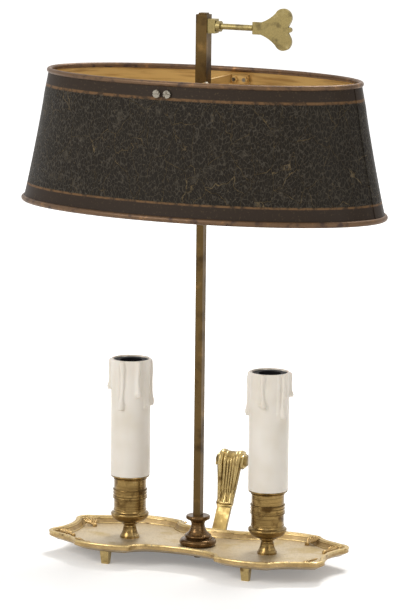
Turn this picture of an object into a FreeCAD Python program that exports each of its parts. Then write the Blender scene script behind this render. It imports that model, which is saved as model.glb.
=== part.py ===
"""Two-light bouillotte lamp with a cartouche tray, two candle tubes and an oval sheet-metal shade.

Millimetres, +Z up. The origin is on the table under the square rod, X runs along the tray towards
the clamp key, and the handle stands at the rear, +Y.
"""
import FreeCAD, Part
import Sketcher
import math
import os

DOCUMENT = FreeCAD.newDocument("BouillotteLamp")
SHEET = DOCUMENT.addObject("Spreadsheet::Sheet", "Sizes")

# Driving sizes
SIZES = {
    # Tray
    "tray_underside": 9.4,
    "tray_floor": 1.6,
    "tray_rim_height": 4.6,
    "tray_edge_rise": 3.1,
    "tray_edge_roll": 0.5,
    "tray_base_inset": 5.8,
    "tray_floor_inset": 5.4,
    "tray_cove_inset": 3.0,
    "tray_cove_drop": 0.9,
    "waist_y": 30.5,
    "waist_end_x": 22.0,
    "waist_end_y": 33.0,
    "step_x": 28.0,
    "step_y": 36.6,
    "cusp_x": 31.5,
    "cusp_y": 43.0,
    "bulge_x": 51.0,
    "bulge_y": 46.4,
    "shoulder_x": 72.0,
    "shoulder_y": 43.6,
    "notch_x": 77.6,
    "notch_y": 37.4,
    "flank_x": 84.5,
    "flank_y": 33.6,
    "lobe_in_x": 94.2,
    "lobe_in_y": 29.2,
    "lobe_x": 100.3,
    "lobe_y": 25.6,
    "lobe_out_x": 101.6,
    "lobe_out_y": 18.2,
    "end_x": 97.0,
    # Feet
    "foot_x": 52.0,
    "foot_y": 36.0,
    "foot_top_width": 6.5,
    "foot_top_depth": 5.3,
    "foot_toe_width": 5.2,
    "foot_toe_depth": 3.0,
    # Handle
    "handle_thickness": 2.6,
    "handle_tongue_start": 10.5,
    "handle_bend_start": 27.0,
    "handle_bend_radius": 8.0,
    "handle_bend_turn": 60.0,
    "handle_strap_length": 18.2,
    "handle_lean_y": 47.2,
    "handle_lean_height": 40.5,
    "handle_neck_inset": 5.4,
    "handle_neck_drop": 4.6,
    "handle_scroll_y": 55.9,
    "handle_scroll_height": 60.6,
    "handle_scroll_radius": 6.6,
    "handle_eye_radius": 3.8,
    "handle_eye_span": 22.0,
    "handle_blank_margin": 1.0,
    "handle_strap_width": 10.0,
    "handle_collar_width": 11.6,
    "handle_collar_step": 2.0,
    "handle_collar_height": 30.5,
    "handle_fan_height": 34.0,
    "handle_fan_width": 17.0,
    "handle_crest_width": 19.0,
    "handle_crest_rise": 3.4,
    "rivet_y": 14.5,
    "rivet_pitch": 6.5,
    "rivet_radius": 1.5,
    "rivet_head_radius": 2.4,
    "rivet_head_height": 1.1,
    # Rod and its foot
    "rod_side": 5.2,
    "rod_top": 373.5,
    "rod_shank_radius": 2.45,
    "rod_hole_radius": 2.6,
    "rod_foot_height": 20.8,
    "rod_foot_radius": 10.8,
    "rod_foot_flange": 4.8,
    "rod_foot_flange_bulge": 1.7,
    "rod_foot_flange_step": 0.9,
    "rod_foot_ring_radius": 8.3,
    "rod_foot_ring_height": 7.6,
    "rod_foot_ring_bulge": 0.8,
    "rod_foot_neck_radius": 4.8,
    "rod_foot_neck_height": 13.2,
    "rod_foot_neck_hollow": 0.7,
    "rod_foot_cap_radius": 7.6,
    "rod_foot_cap_thickness": 2.6,
    "rod_foot_cap_bulge": 0.7,
    "rod_foot_cap_bead": 0.8,
    "rod_foot_cap_step": 1.0,
    "rod_socket_depth": 4.0,
    "rod_washer_radius": 7.0,
    "rod_washer_thickness": 1.2,
    "rod_nut_radius": 4.9,
    "rod_nut_height": 4.4,
    "rod_end_spare": 1.2,
    # Candle holders
    "holder_x": 51.5,
    "stem_foot_radius": 6.7,
    "stem_foot_edge": 1.0,
    "stem_neck_radius": 4.4,
    "stem_neck_height": 7.6,
    "stem_ring_radius": 4.9,
    "stem_ring_height": 9.4,
    "stem_hollow": 0.5,
    "stem_height": 11.2,
    "cup_bowl_radius": 5.7,
    "cup_bulge_radius": 12.5,
    "cup_bulge_height": 4.3,
    "cup_bowl_bulge": 1.5,
    "cup_bead_height": 6.6,
    "cup_bead_bulge": 0.6,
    "cup_barrel_radius": 11.0,
    "cup_barrel_height": 8.8,
    "cup_band_radius": 11.4,
    "cup_band_height": 16.7,
    "cup_band_width": 5.9,
    "cup_lip_radius": 12.95,
    "cup_lip_thickness": 1.1,
    "cup_lip_flare": 1.6,
    "cup_lip_bulge": 0.3,
    "cup_height": 32.8,
    "cup_bore_radius": 9.8,
    "cup_floor": 8.0,
    "nipple_radius": 3.1,
    "nipple_bore_radius": 2.0,
    "nipple_spare": 0.6,
    "nipple_washer_radius": 6.5,
    "nipple_washer_thickness": 0.8,
    "nipple_nut_radius": 5.77,
    "nipple_nut_height": 3.0,
    # Candle tubes and lampholders
    "candle_radius": 13.5,
    "candle_wall": 1.2,
    "candle_length": 80.7,
    "drip_radius": 1.9,
    "drip_bead_radius": 2.1,
    "lampholder_top_drop": 1.0,
    "lampholder_length": 46.0,
    "lampholder_bore_radius": 7.6,
    "lampholder_bore_depth": 27.0,
    "shell_radius": 7.0,
    "shell_wall": 0.5,
    "shell_length": 20.0,
    "contact_radius": 2.2,
    "contact_height": 3.0,
    "bracket_width": 17.0,
    "bracket_depth": 7.0,
    "bracket_thickness": 1.2,
    # Wiring under the tray
    "lead_radius": 1.3,
    "lead_bend_radius": 2.9,
    "lead_turn_radius": 12.0,
    "lead_end_run": 12.0,
    "lead_entry_height": 2.0,
    "terminal_width": 18.0,
    "terminal_depth": 9.0,
    "terminal_height": 6.2,
    "terminal_x": 17.0,
    "terminal_y": 13.0,
    "terminal_screw_radius": 1.4,
    "terminal_screw_pitch": 4.4,
    "terminal_screw_length": 2.4,
    "cord_grip_x": 17.0,
    "cord_grip_y": 18.0,
    "cord_grip_width": 12.0,
    "cord_grip_depth": 7.0,
    "cord_grip_height": 7.5,
    "cord_bore_radius": 2.8,
    # Shade
    "shade_top_x": 112.0,
    "shade_top_y": 54.3,
    "shade_top_drop": 42.5,
    "shade_bottom_x": 130.0,
    "shade_bottom_y": 66.0,
    "shade_height": 87.5,
    "shade_wall": 0.8,
    "top_bead_radius": 1.75,
    "bottom_bead_radius": 1.95,
    # Sleeve, arms and their screws
    "sleeve_side": 8.0,
    "sleeve_bore": 5.8,
    "sleeve_top_drop": 1.0,
    "sleeve_length": 76.5,
    "arm_thickness": 2.2,
    "arm_inner_x": 2.4,
    "arm_height": 6.0,
    "arm_below_screw": 3.0,
    "arm_tab_width": 14.4,
    "arm_wall_clearance": 0.5,
    "shade_screw_drop": 6.6,
    "shade_screw_pitch": 7.5,
    "shade_screw_radius": 1.3,
    "shade_screw_head_radius": 2.6,
    "shade_screw_head_height": 1.5,
    "shade_screw_slot": 0.7,
    "shade_screw_spare": 0.5,
    "shade_nut_radius": 2.35,
    "shade_nut_height": 1.8,
    # Clamp key
    "key_drop": 7.5,
    "key_radius": 2.0,
    "key_fit": 0.06,
    "key_bow_x": 35.8,
    "boss_length": 5.6,
    "boss_depth": 6.4,
    "boss_height": 9.5,
    "collar_radius": 3.6,
    "collar_length": 2.8,
    "bow_thickness": 2.5,
    "bow_neck": 4.1,
    "bow_neck_length": 6.0,
    "bow_lobe_x": 22.0,
    "bow_lobe_offset": 8.0,
    "bow_lobe_radius": 6.0,
    "bow_shoulder_inset": 5.4,
    "bow_shoulder_rise": 2.6,
    "bow_shoulder_hollow": 0.75,
    "bow_notch_x": 25.4,
    "bow_notch_offset": 1.6,
    "bow_tip_x": 27.3,
    "bow_tip_offset": 5.2,
    "bow_tip_reach": 2.6,
    # General fits
    "fit_clearance": 0.1,
    "running_gap": 0.3,
}


def fill_sheet():
    """Write each driving size to the spreadsheet under its own alias."""
    for row, (alias, value) in enumerate(SIZES.items(), start=1):
        SHEET.set("A%d" % row, alias)
        SHEET.set("B%d" % row, str(value))
        SHEET.setAlias("B%d" % row, alias)
    DOCUMENT.recompute()


class Size:
    """A length together with the spreadsheet expression that drives it."""

    def __init__(self, value, text):
        self.value = float(value)
        self.text = text

    def __add__(self, other):
        other = as_size(other)
        return Size(self.value + other.value, "(%s + %s)" % (self.text, other.text))

    def __sub__(self, other):
        other = as_size(other)
        return Size(self.value - other.value, "(%s - %s)" % (self.text, other.text))

    def __mul__(self, other):
        other = as_size(other)
        return Size(self.value * other.value, "(%s * %s)" % (self.text, other.text))

    def __truediv__(self, other):
        other = as_size(other)
        return Size(self.value / other.value, "(%s / %s)" % (self.text, other.text))

    def __neg__(self):
        return Size(-self.value, "(0 - %s)" % self.text)


def as_size(number):
    """Let plain numbers stand beside sizes."""
    return number if isinstance(number, Size) else Size(number, repr(float(number)))


def size(alias):
    """The driving size of that alias, read back from the sheet."""
    return Size(SHEET.get(alias), "Sizes.%s" % alias)


# Helpers for bound objects
def bind(thing, **properties):
    """Bind properties to sizes; a double underscore in a name stands for a dot."""
    for name, length in properties.items():
        thing.setExpression(name.replace("__", "."), as_size(length).text)
    return thing


def place(thing, x=0, y=0, z=0):
    """Bind an object's position to sizes."""
    return bind(thing, Placement__Base__x=x, Placement__Base__y=y, Placement__Base__z=z)


def add(kind, name, **properties):
    """Add an object that carries its name as its label, with its sizes bound."""
    thing = DOCUMENT.addObject(kind, name)
    thing.Label = name
    return bind(thing, **properties)


def cylinder(name, radius, height, x=0, y=0, z=0, axis=None):
    """A cylinder from its lower end; axis is None for +Z, or the turn that lays it down."""
    thing = add("Part::Cylinder", name, Radius=radius, Height=height)
    if axis is not None:
        thing.Placement.Rotation = axis
    return place(thing, x, y, z)


ALONG_X = FreeCAD.Rotation(FreeCAD.Vector(0, 1, 0), 90)
ALONG_Y = FreeCAD.Rotation(FreeCAD.Vector(1, 0, 0), -90)
UPRIGHT = FreeCAD.Rotation(FreeCAD.Vector(1, 0, 0), 90)


def block(name, width, depth, height, x=0, y=0, z=0):
    """A box centred on x and y that stands on z."""
    thing = add("Part::Box", name, Length=width, Width=depth, Height=height)
    return place(thing, as_size(x) - as_size(width) / 2, as_size(y) - as_size(depth) / 2, z)


def hexagon(name, radius, height, x=0, y=0, z=0):
    """A hexagonal prism from its lower face."""
    thing = add("Part::Prism", name, Circumradius=radius, Height=height)
    thing.Polygon = 6
    return place(thing, x, y, z)


def fuse(name, pieces):
    """Join pieces into one solid."""
    thing = add("Part::MultiFuse", name)
    thing.Shapes = pieces
    thing.Refine = True
    return thing


def cut(name, blank, tools):
    """Take one or more tools out of a blank."""
    thing = add("Part::Cut", name)
    thing.Base = blank
    thing.Tool = tools[0] if len(tools) == 1 else group(name + "_tools", tools)
    return thing


def group(name, pieces):
    """Several solids under one name."""
    thing = add("Part::Compound", name)
    thing.Links = pieces
    return thing


def new_body(name):
    """An empty body whose label is its name."""
    return add("PartDesign::Body", name)


def sketch_on(body, role):
    """A sketch on one of the body's own origin planes."""
    plane = next(each for each in body.Origin.OriginFeatures if each.Role == role)
    sketch = body.newObject("Sketcher::SketchObject", body.Name + "_profile")
    sketch.AttachmentSupport = (plane, "")
    sketch.MapMode = "FlatFace"
    return sketch


def arc_through(start, end, bulge):
    """The counter-clockwise arc from start to end or back, and whether it runs backwards."""
    chord = end - start
    left = FreeCAD.Vector(-chord.y, chord.x, 0).normalize()
    radius = ((chord.Length / 2) ** 2 + bulge ** 2) / (2 * abs(bulge))
    side = 1 if bulge > 0 else -1
    centre = (start + end) * 0.5 + left * side * (abs(bulge) - radius)
    circle = Part.Circle(centre, FreeCAD.Vector(0, 0, 1), radius)
    angles = [math.atan2(point.y - centre.y, point.x - centre.x) for point in (start, end)]
    if bulge > 0:
        angles.reverse()
    if angles[1] <= angles[0]:
        angles[1] += 2 * math.pi
    return Part.ArcOfCircle(circle, angles[0], angles[1]), bulge > 0


def draw(sketch, corners):
    """Draw a closed outline whose corners are bound to sizes.

    A corner is (across, up) for a straight edge that ends there, or (across, up, bulge) for an
    arc that stands out by bulge, positive to the left of the way it is drawn.
    """
    points = [FreeCAD.Vector(as_size(each[0]).value, as_size(each[1]).value, 0) for each in corners]
    ends = []
    for index, corner in enumerate(corners):
        start, end = points[index - 1], points[index]
        if len(corner) == 3:
            edge, backwards = arc_through(start, end, as_size(corner[2]).value)
            sketch.addGeometry(edge, False)
            ends.append((2, 1) if backwards else (1, 2))
        else:
            sketch.addGeometry(Part.LineSegment(start, end), False)
            ends.append((1, 2))
    for index, corner in enumerate(corners):
        following = (index + 1) % len(corners)
        join = Sketcher.Constraint("Coincident", index, ends[index][1], following, ends[following][0])
        sketch.addConstraint(join)
        for kind, length in (("DistanceX", corner[0]), ("DistanceY", corner[1])):
            length = as_size(length)
            rule = Sketcher.Constraint(kind, -1, 1, index, ends[index][1], length.value)
            number = sketch.addConstraint(rule)
            sketch.setExpression("Constraints[%d]" % number, length.text)
        if len(corner) == 3:
            before = corners[index - 1]
            across = as_size(corner[0]) - before[0]
            upward = as_size(corner[1]) - before[1]
            bulge = as_size(corner[2])
            if bulge.value < 0:
                bulge = -bulge
            half = (across * across + upward * upward) / 4
            radius = (half + bulge * bulge) / (bulge * 2)
            number = sketch.addConstraint(Sketcher.Constraint("Radius", index, radius.value))
            sketch.setExpression("Constraints[%d]" % number, radius.text)
    return sketch


def turned(name, corners, x=0, y=0, z=0):
    """A piece turned about +Z from (radius, height) corners."""
    body = new_body(name)
    profile = draw(sketch_on(body, "XZ_Plane"), corners)
    revolution = body.newObject("PartDesign::Revolution", name + "_turning")
    revolution.Profile = profile
    revolution.ReferenceAxis = (profile, ["V_Axis"])
    revolution.Angle = 360
    return place(body, x, y, z)


def padded(name, role, corners, length, midplane=False, x=0, y=0, z=0):
    """A flat outline given a thickness."""
    body = new_body(name)
    profile = draw(sketch_on(body, role), corners)
    pad = body.newObject("PartDesign::Pad", name + "_pad")
    pad.Profile = profile
    if midplane:
        pad.SideType = "Symmetric"
    bind(pad, Length=length)
    return place(body, x, y, z)


fill_sheet()
FLOOR = size("tray_underside") + size("tray_floor")
UNDERSIDE = size("tray_underside")
HOLDER_TOP = FLOOR + size("stem_height") + size("cup_height")
CANDLE_TOP = HOLDER_TOP + size("candle_length")
SLEEVE_TOP = size("rod_top") - size("sleeve_top_drop")
KEY_HEIGHT = SLEEVE_TOP - size("key_drop")
SHADE_LEVELS = {"top": size("rod_top") - size("shade_top_drop"),
                "bottom": size("rod_top") - size("shade_top_drop") - size("shade_height")}
SCREW_HEIGHT = SHADE_LEVELS["top"] - size("shade_screw_drop")
SIDES = (("left", -1), ("right", 1))


# Tray
def quarter_edges():
    """The rear right quarter of the tray's edge as (start, middle, end), from the end to the waist."""
    def point(stem):
        return FreeCAD.Vector(size(stem + "_x").value, size(stem + "_y").value, 0)

    return [
        (point("lobe_out"), point("lobe"), point("lobe_in")),
        (point("lobe_in"), None, point("flank")),
        (point("flank"), point("notch"), point("shoulder")),
        (point("shoulder"), point("bulge"), point("cusp")),
        (point("cusp"), point("step"), point("waist_end")),
    ]


def turned_point(point, across, along):
    """A point mirrored by the signs of across and along."""
    return None if point is None else FreeCAD.Vector(point.x * across, point.y * along, 0)


def tray_edges():
    """All edges of the tray's outline, counter-clockwise."""
    quarter = quarter_edges()
    waist_end = quarter[-1][2]
    waist = FreeCAD.Vector(0, size("waist_y").value, 0)
    mirrored = [tuple(turned_point(each, -1, 1) for each in reversed(edge)) for edge in reversed(quarter)]
    half = quarter + [(waist_end, waist, turned_point(waist_end, -1, 1))] + mirrored
    start, finish = half[0][0], half[-1][2]
    end_middle = FreeCAD.Vector(-size("end_x").value, 0, 0)
    half.append((finish, end_middle, turned_point(start, -1, -1)))
    other = [tuple(turned_point(each, -1, -1) for each in edge) for edge in half]
    return half + other


def end_tangents(edge):
    """Unit tangents at the start and the end of an edge."""
    start, middle, end = edge
    if middle is None:
        straight = (end - start).normalize()
        return straight, straight
    centre = Part.Arc(start, middle, end).toShape().Curve.Center
    tangents = []
    for point in (start, end):
        spoke = point - centre
        tangent = FreeCAD.Vector(-spoke.y, spoke.x, 0).normalize()
        tangents.append(tangent if tangent.dot(end - start) > 0 else tangent * -1)
    return tuple(tangents)


def leftward(vector):
    """The vector turned a quarter to the left."""
    return FreeCAD.Vector(-vector.y, vector.x, 0)


def tray_section(inset, height):
    """The outline moved inwards by inset and lifted to height, as one closed wire."""
    edges = tray_edges()
    tangents = [end_tangents(edge) for edge in edges]
    corners = []
    for index, edge in enumerate(edges):
        before, after = leftward(tangents[index - 1][1]), leftward(tangents[index][0])
        corners.append(edge[0] + (before + after) * (inset / (1 + before.dot(after))))
    lift = FreeCAD.Vector(0, 0, height)
    pieces = []
    for index, (start, middle, end) in enumerate(edges):
        first, last = corners[index] + lift, corners[(index + 1) % len(edges)] + lift
        if middle is None:
            pieces.append(Part.LineSegment(first, last).toShape())
        else:
            inward = leftward((end - start).normalize())
            pieces.append(Part.Arc(first, middle + inward * inset + lift, last).toShape())
    return Part.Wire(pieces)


def make_tray():
    """A dished tray with a sloping cove and a rolled edge, drilled for what stands on it."""
    top = (FLOOR + size("tray_rim_height")).value
    outer = Part.makeLoft([
        tray_section(size("tray_base_inset").value, UNDERSIDE.value),
        tray_section(0, (UNDERSIDE + size("tray_edge_rise")).value),
        tray_section(size("tray_edge_roll").value, top),
    ], True, True)
    hollow = Part.makeLoft([
        tray_section(size("tray_floor_inset").value, FLOOR.value),
        tray_section(size("tray_cove_inset").value, top - size("tray_cove_drop").value),
        tray_section(size("tray_cove_inset").value - size("tray_edge_roll").value, top),
    ], True, True)
    blank = add("Part::Feature", "tray_blank")
    blank.Shape = outer.cut(hollow)
    depth = size("tray_floor")
    tools = [cylinder("tray_rod_hole", size("rod_hole_radius"), depth, z=UNDERSIDE)]
    for side, sign in SIDES:
        tools.append(cylinder("tray_%s_hole" % side, size("nipple_radius") + size("fit_clearance"),
                              depth, x=size("holder_x") * sign, z=UNDERSIDE))
    for index in range(2):
        tools.append(rivet_blank("tray_rivet_hole_%d" % index, index, size("fit_clearance")))
    return cut("tray", blank, tools)


# Feet
def make_foot(end, end_sign, side, side_sign):
    """A short square leg that tapers to its toe."""
    name = "foot_%s_%s" % (end, side)
    body = new_body(name)
    sections = []
    for level, height in (("toe", 0), ("top", UNDERSIDE)):
        half_width = size("foot_%s_width" % level) / 2
        half_depth = size("foot_%s_depth" % level) / 2
        sketch = sketch_on(body, "XY_Plane")
        draw(sketch, [(-half_width, -half_depth), (half_width, -half_depth),
                      (half_width, half_depth), (-half_width, half_depth)])
        bind(sketch, AttachmentOffset__Base__z=height)
        sections.append(sketch)
    loft = body.newObject("PartDesign::AdditiveLoft", name + "_taper")
    loft.Profile = sections[0]
    loft.Sections = [sections[1]]
    return place(body, size("foot_x") * side_sign, size("foot_y") * end_sign, 0)


# Handle
def handle_side():
    """The handle's side view: a strap under the tray that bends up and ends in a scroll."""
    lift = UNDERSIDE.value - size("handle_thickness").value / 2
    turn = math.radians(size("handle_bend_turn").value)
    radius = size("handle_bend_radius").value

    def point(y, z):
        return FreeCAD.Vector(0, y, z)

    def on_bend(angle):
        return point(bend.y + radius * math.sin(angle), bend.z + radius * (1 - math.cos(angle)))

    scroll_y, scroll_z = size("handle_scroll_y").value, size("handle_scroll_height").value
    tongue = point(size("handle_tongue_start").value, lift)
    bend = point(size("handle_bend_start").value, lift)
    rise = on_bend(turn)
    strap = size("handle_strap_length").value
    knee = rise + point(strap * math.cos(turn), strap * math.sin(turn))
    lean = point(size("handle_lean_y").value, size("handle_lean_height").value)
    neck = point(scroll_y - size("handle_neck_inset").value, scroll_z - size("handle_neck_drop").value)
    spine = Part.Wire([
        Part.LineSegment(tongue, bend).toShape(),
        Part.Arc(bend, on_bend(turn / 2), rise).toShape(),
        Part.LineSegment(rise, knee).toShape(),
        Part.Arc(knee, lean, neck).toShape(),
    ])
    return spine.makeOffset2D(size("handle_thickness").value / 2, 0, True, False)


def handle_front():
    """The handle's front view: a plain strap, a collar and a fan that widens to the crest."""
    scroll = size("handle_scroll_height")
    collar = size("handle_collar_height")
    levels = [
        (size("handle_strap_width"), as_size(0)),
        (size("handle_strap_width"), collar - size("handle_collar_step")),
        (size("handle_collar_width"), collar),
        (size("handle_collar_width"), size("handle_fan_height")),
        (size("handle_fan_width"), scroll - size("handle_neck_drop")),
        (size("handle_crest_width"), scroll),
        (size("handle_crest_width"), scroll + size("handle_crest_rise")),
        (size("handle_strap_width"), scroll + size("handle_scroll_radius") + size("handle_blank_margin")),
    ]
    right = [FreeCAD.Vector(width.value / 2, 0, height.value) for width, height in levels]
    left = [FreeCAD.Vector(-each.x, 0, each.z) for each in reversed(right)]
    corners = right + left
    return Part.Face(Part.makePolygon(corners + [corners[0]]))


def make_handle():
    """The side view and the front view carved out of one block, with scroll eyes at both sides."""
    margin = size("handle_blank_margin").value
    wide = size("handle_crest_width").value + margin
    reach = size("handle_scroll_y").value + size("handle_scroll_radius").value + margin
    side = handle_side()
    side.translate(FreeCAD.Vector(-wide / 2, 0, 0))
    strap = side.extrude(FreeCAD.Vector(wide, 0, 0))
    centre = FreeCAD.Vector(0, size("handle_scroll_y").value, size("handle_scroll_height").value)
    along = FreeCAD.Vector(1, 0, 0)
    scroll = Part.makeCylinder(size("handle_scroll_radius").value, wide, centre - along * (wide / 2), along)
    front = handle_front().extrude(FreeCAD.Vector(0, reach, 0))
    span = size("handle_eye_span").value
    eyes = Part.makeCylinder(size("handle_eye_radius").value, span, centre - along * (span / 2), along)
    blank = add("Part::Feature", "handle_blank")
    blank.Shape = strap.fuse(scroll).common(front).fuse(eyes).removeSplitter()
    tools = [rivet_blank("handle_rivet_hole_%d" % index, index, size("fit_clearance"), plain=True)
             for index in range(2)]
    return cut("handle", blank, tools)


def rivet_blank(name, index, growth, plain=False):
    """A flush rivet, or the hole for it; plain leaves out its sunk head."""
    y = size("rivet_y") + size("rivet_pitch") * index
    radius = size("rivet_radius") + growth
    bottom = UNDERSIDE - size("handle_thickness")
    shank = cylinder(name + "_shank", radius, FLOOR - bottom, y=y, z=bottom)
    if plain:
        return shank
    head = add("Part::Cone", name + "_head", Radius1=radius, Radius2=size("rivet_head_radius") + growth,
               Height=size("rivet_head_height"))
    place(head, 0, y, FLOOR - size("rivet_head_height"))
    return fuse(name, [shank, head])


def make_handle_rivets():
    """Two rivets, flush in the tray's floor and headed under the handle's tongue."""
    rivets = []
    for index in range(2):
        flush = rivet_blank("handle_rivet_%d_body" % index, index, as_size(0))
        height = size("rivet_head_height")
        tail = cylinder("handle_rivet_%d_tail" % index, size("rivet_head_radius"), height,
                        y=size("rivet_y") + size("rivet_pitch") * index,
                        z=UNDERSIDE - size("handle_thickness") - height)
        rivets.append(fuse("handle_rivet_%d" % index, [flush, tail]))
    return group("handle_rivets", rivets)


# Rod
def make_rod_foot():
    """A turned spool that the rod stands in."""
    bore = size("rod_hole_radius")
    cap_base = size("rod_foot_height") - size("rod_foot_cap_thickness")
    cap = size("rod_foot_cap_radius")
    bead = size("rod_foot_cap_bead")
    step = cap - size("rod_foot_cap_step")
    flange = size("rod_foot_flange")
    hollow = size("rod_foot_neck_hollow")
    spool = turned("rod_foot_blank", [
        (bore, 0),
        (size("rod_foot_radius"), 0),
        (size("rod_foot_radius"), flange, -size("rod_foot_flange_bulge")),
        (size("rod_foot_ring_radius"), flange + size("rod_foot_flange_step"), size("rod_foot_flange_step") / 3),
        (size("rod_foot_ring_radius"), size("rod_foot_ring_height"), -size("rod_foot_ring_bulge")),
        (size("rod_foot_neck_radius"), size("rod_foot_neck_height"), hollow),
        (step - bead, cap_base - bead, hollow),
        (step, cap_base, -bead / 3),
        (cap, cap_base),
        (cap, size("rod_foot_height"), -size("rod_foot_cap_bulge")),
        (bore, size("rod_foot_height")),
    ], z=FLOOR)
    side = size("rod_side") + size("fit_clearance") * 2
    socket = block("rod_socket", side, side, size("rod_socket_depth"),
                   z=FLOOR + size("rod_foot_height") - size("rod_socket_depth"))
    return cut("rod_foot", spool, [socket])


def make_rod():
    """A square rod with a round threaded shank at its foot."""
    shoulder = FLOOR + size("rod_foot_height") - size("rod_socket_depth")
    bottom = UNDERSIDE - size("rod_washer_thickness") - size("rod_nut_height") - size("rod_end_spare")
    square = block("rod_square", size("rod_side"), size("rod_side"), size("rod_top") - shoulder, z=shoulder)
    shank = cylinder("rod_shank", size("rod_shank_radius"), shoulder - bottom, z=bottom)
    return fuse("rod", [square, shank])


def washer(name, radius, hole, thickness, x, z):
    """A flat round washer."""
    blank = cylinder(name + "_disc", radius, thickness, x=x, z=z)
    return cut(name, blank, [cylinder(name + "_hole", hole, thickness, x=x, z=z)])


def nut(name, radius, hole, height, x, z):
    """A hexagonal nut, its thread as a plain hole."""
    blank = hexagon(name + "_hexagon", radius, height, x=x, z=z)
    return cut(name, blank, [cylinder(name + "_hole", hole, height, x=x, z=z)])


def make_rod_fixings():
    """The washer and nut that pull the rod down on the tray."""
    hole = size("rod_shank_radius") + size("fit_clearance")
    seat = UNDERSIDE - size("rod_washer_thickness")
    washer("rod_washer", size("rod_washer_radius"), hole, size("rod_washer_thickness"), 0, seat)
    nut("rod_nut", size("rod_nut_radius"), hole, size("rod_nut_height"), 0, seat - size("rod_nut_height"))


# Candle holders
def make_stem(side, x):
    """The turned foot and neck under a cup."""
    bore = size("nipple_radius") + size("fit_clearance")
    neck = size("stem_neck_height")
    ring = size("stem_ring_radius")
    hollow = size("stem_hollow")
    return turned("%s_stem" % side, [
        (bore, 0),
        (size("stem_foot_radius"), 0),
        (size("stem_foot_radius"), size("stem_foot_edge")),
        (size("stem_neck_radius"), neck, hollow),
        (ring, size("stem_ring_height"), hollow),
        (ring, size("stem_height"), -hollow),
        (bore, size("stem_height")),
    ], x=x, z=FLOOR)


def make_cup(side, x):
    """The candle cup: a bowl, a barrel with a raised band and a flared lip."""
    bore = size("nipple_radius") + size("fit_clearance")
    barrel = size("cup_barrel_radius")
    band = size("cup_band_radius")
    band_base = size("cup_band_height")
    band_top = band_base + size("cup_band_width")
    lip = size("cup_lip_radius")
    lip_base = size("cup_height") - size("cup_lip_thickness")
    return turned("%s_cup" % side, [
        (bore, 0),
        (size("cup_bowl_radius"), 0),
        (size("cup_bulge_radius"), size("cup_bulge_height"), -size("cup_bowl_bulge")),
        (size("cup_bulge_radius"), size("cup_bead_height"), -size("cup_bead_bulge")),
        (barrel, size("cup_barrel_height"), size("cup_bead_bulge")),
        (barrel, band_base),
        (band, band_base),
        (band, band_top),
        (barrel, band_top),
        (barrel, lip_base - size("cup_lip_flare")),
        (lip, lip_base, size("cup_lip_bulge")),
        (lip, size("cup_height"), -size("cup_lip_bulge")),
        (size("cup_bore_radius"), size("cup_height")),
        (size("cup_bore_radius"), size("cup_floor")),
        (bore, size("cup_floor")),
    ], x=x, z=FLOOR + size("stem_height"))


def nipple_bottom():
    """The lower end of the threaded tubes."""
    return (UNDERSIDE - size("nipple_washer_thickness") - size("nipple_nut_height")
            - size("nipple_spare"))


def cup_seat():
    """The floor inside a cup."""
    return FLOOR + size("stem_height") + size("cup_floor")


def make_nipple(side, x):
    """The threaded tube that ties tray, stem, cup and bracket together."""
    top = cup_seat() + size("bracket_thickness") + size("nipple_nut_height") + size("nipple_spare")
    height = top - nipple_bottom()
    blank = cylinder("%s_nipple_bar" % side, size("nipple_radius"), height, x=x, z=nipple_bottom())
    bore = cylinder("%s_nipple_bore" % side, size("nipple_bore_radius"), height, x=x, z=nipple_bottom())
    return cut("%s_nipple" % side, blank, [bore])


def make_nipple_fixings(side, x):
    """Washer and nut under the tray, and the nut inside the cup."""
    hole = size("nipple_radius") + size("fit_clearance") / 2
    seat = UNDERSIDE - size("nipple_washer_thickness")
    height = size("nipple_nut_height")
    washer("%s_washer" % side, size("nipple_washer_radius"), hole, size("nipple_washer_thickness"), x, seat)
    nut("%s_lower_nut" % side, size("nipple_nut_radius"), hole, height, x, seat - height)
    nut("%s_cup_nut" % side, size("nipple_nut_radius"), hole, height, x, cup_seat() + size("bracket_thickness"))


# Lampholders and candle tubes
def lampholder_bottom():
    """The lower end of a lampholder."""
    return CANDLE_TOP - size("lampholder_top_drop") - size("lampholder_length")


def make_bracket(side, x):
    """The strip-metal frame that carries the lampholder above the cup."""
    wall = size("bracket_thickness")
    height = lampholder_bottom() - cup_seat()
    outside = block("%s_bracket_outside" % side, size("bracket_width"), size("bracket_depth"), height,
                    x=x, z=cup_seat())
    inside = block("%s_bracket_inside" % side, size("bracket_width") - wall * 2, size("bracket_depth"),
                   height - wall * 2, x=x, z=cup_seat() + wall)
    hole = cylinder("%s_bracket_hole" % side, size("nipple_radius") + size("fit_clearance"), wall,
                    x=x, z=cup_seat())
    lead_hole = cylinder("%s_bracket_lead_hole" % side, size("nipple_bore_radius"), wall,
                         x=x, z=lampholder_bottom() - wall)
    return cut("%s_bracket" % side, outside, [inside, hole, lead_hole])


def make_lampholder(side, x):
    """The dark insulating body with its open bore."""
    radius = size("candle_radius") - size("candle_wall") - size("running_gap")
    length = size("lampholder_length")
    blank = cylinder("%s_lampholder_body" % side, radius, length, x=x, z=lampholder_bottom())
    depth = size("lampholder_bore_depth")
    bore = cylinder("%s_lampholder_bore" % side, size("lampholder_bore_radius"), depth,
                    x=x, z=lampholder_bottom() + length - depth)
    return cut("%s_lampholder" % side, blank, [bore])


def shell_bottom():
    """The lower end of the screw shells, just above the contact."""
    length = size("lampholder_length") - size("lampholder_bore_depth")
    return lampholder_bottom() + length + size("contact_height")


def make_screw_shell(side, x):
    """The brass shell that takes the lamp's cap."""
    outside = size("shell_radius") + size("shell_wall")
    blank = cylinder("%s_shell_outside" % side, outside, size("shell_length"), x=x, z=shell_bottom())
    bore = cylinder("%s_shell_bore" % side, size("shell_radius"), size("shell_length"), x=x, z=shell_bottom())
    return cut("%s_screw_shell" % side, blank, [bore])


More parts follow.
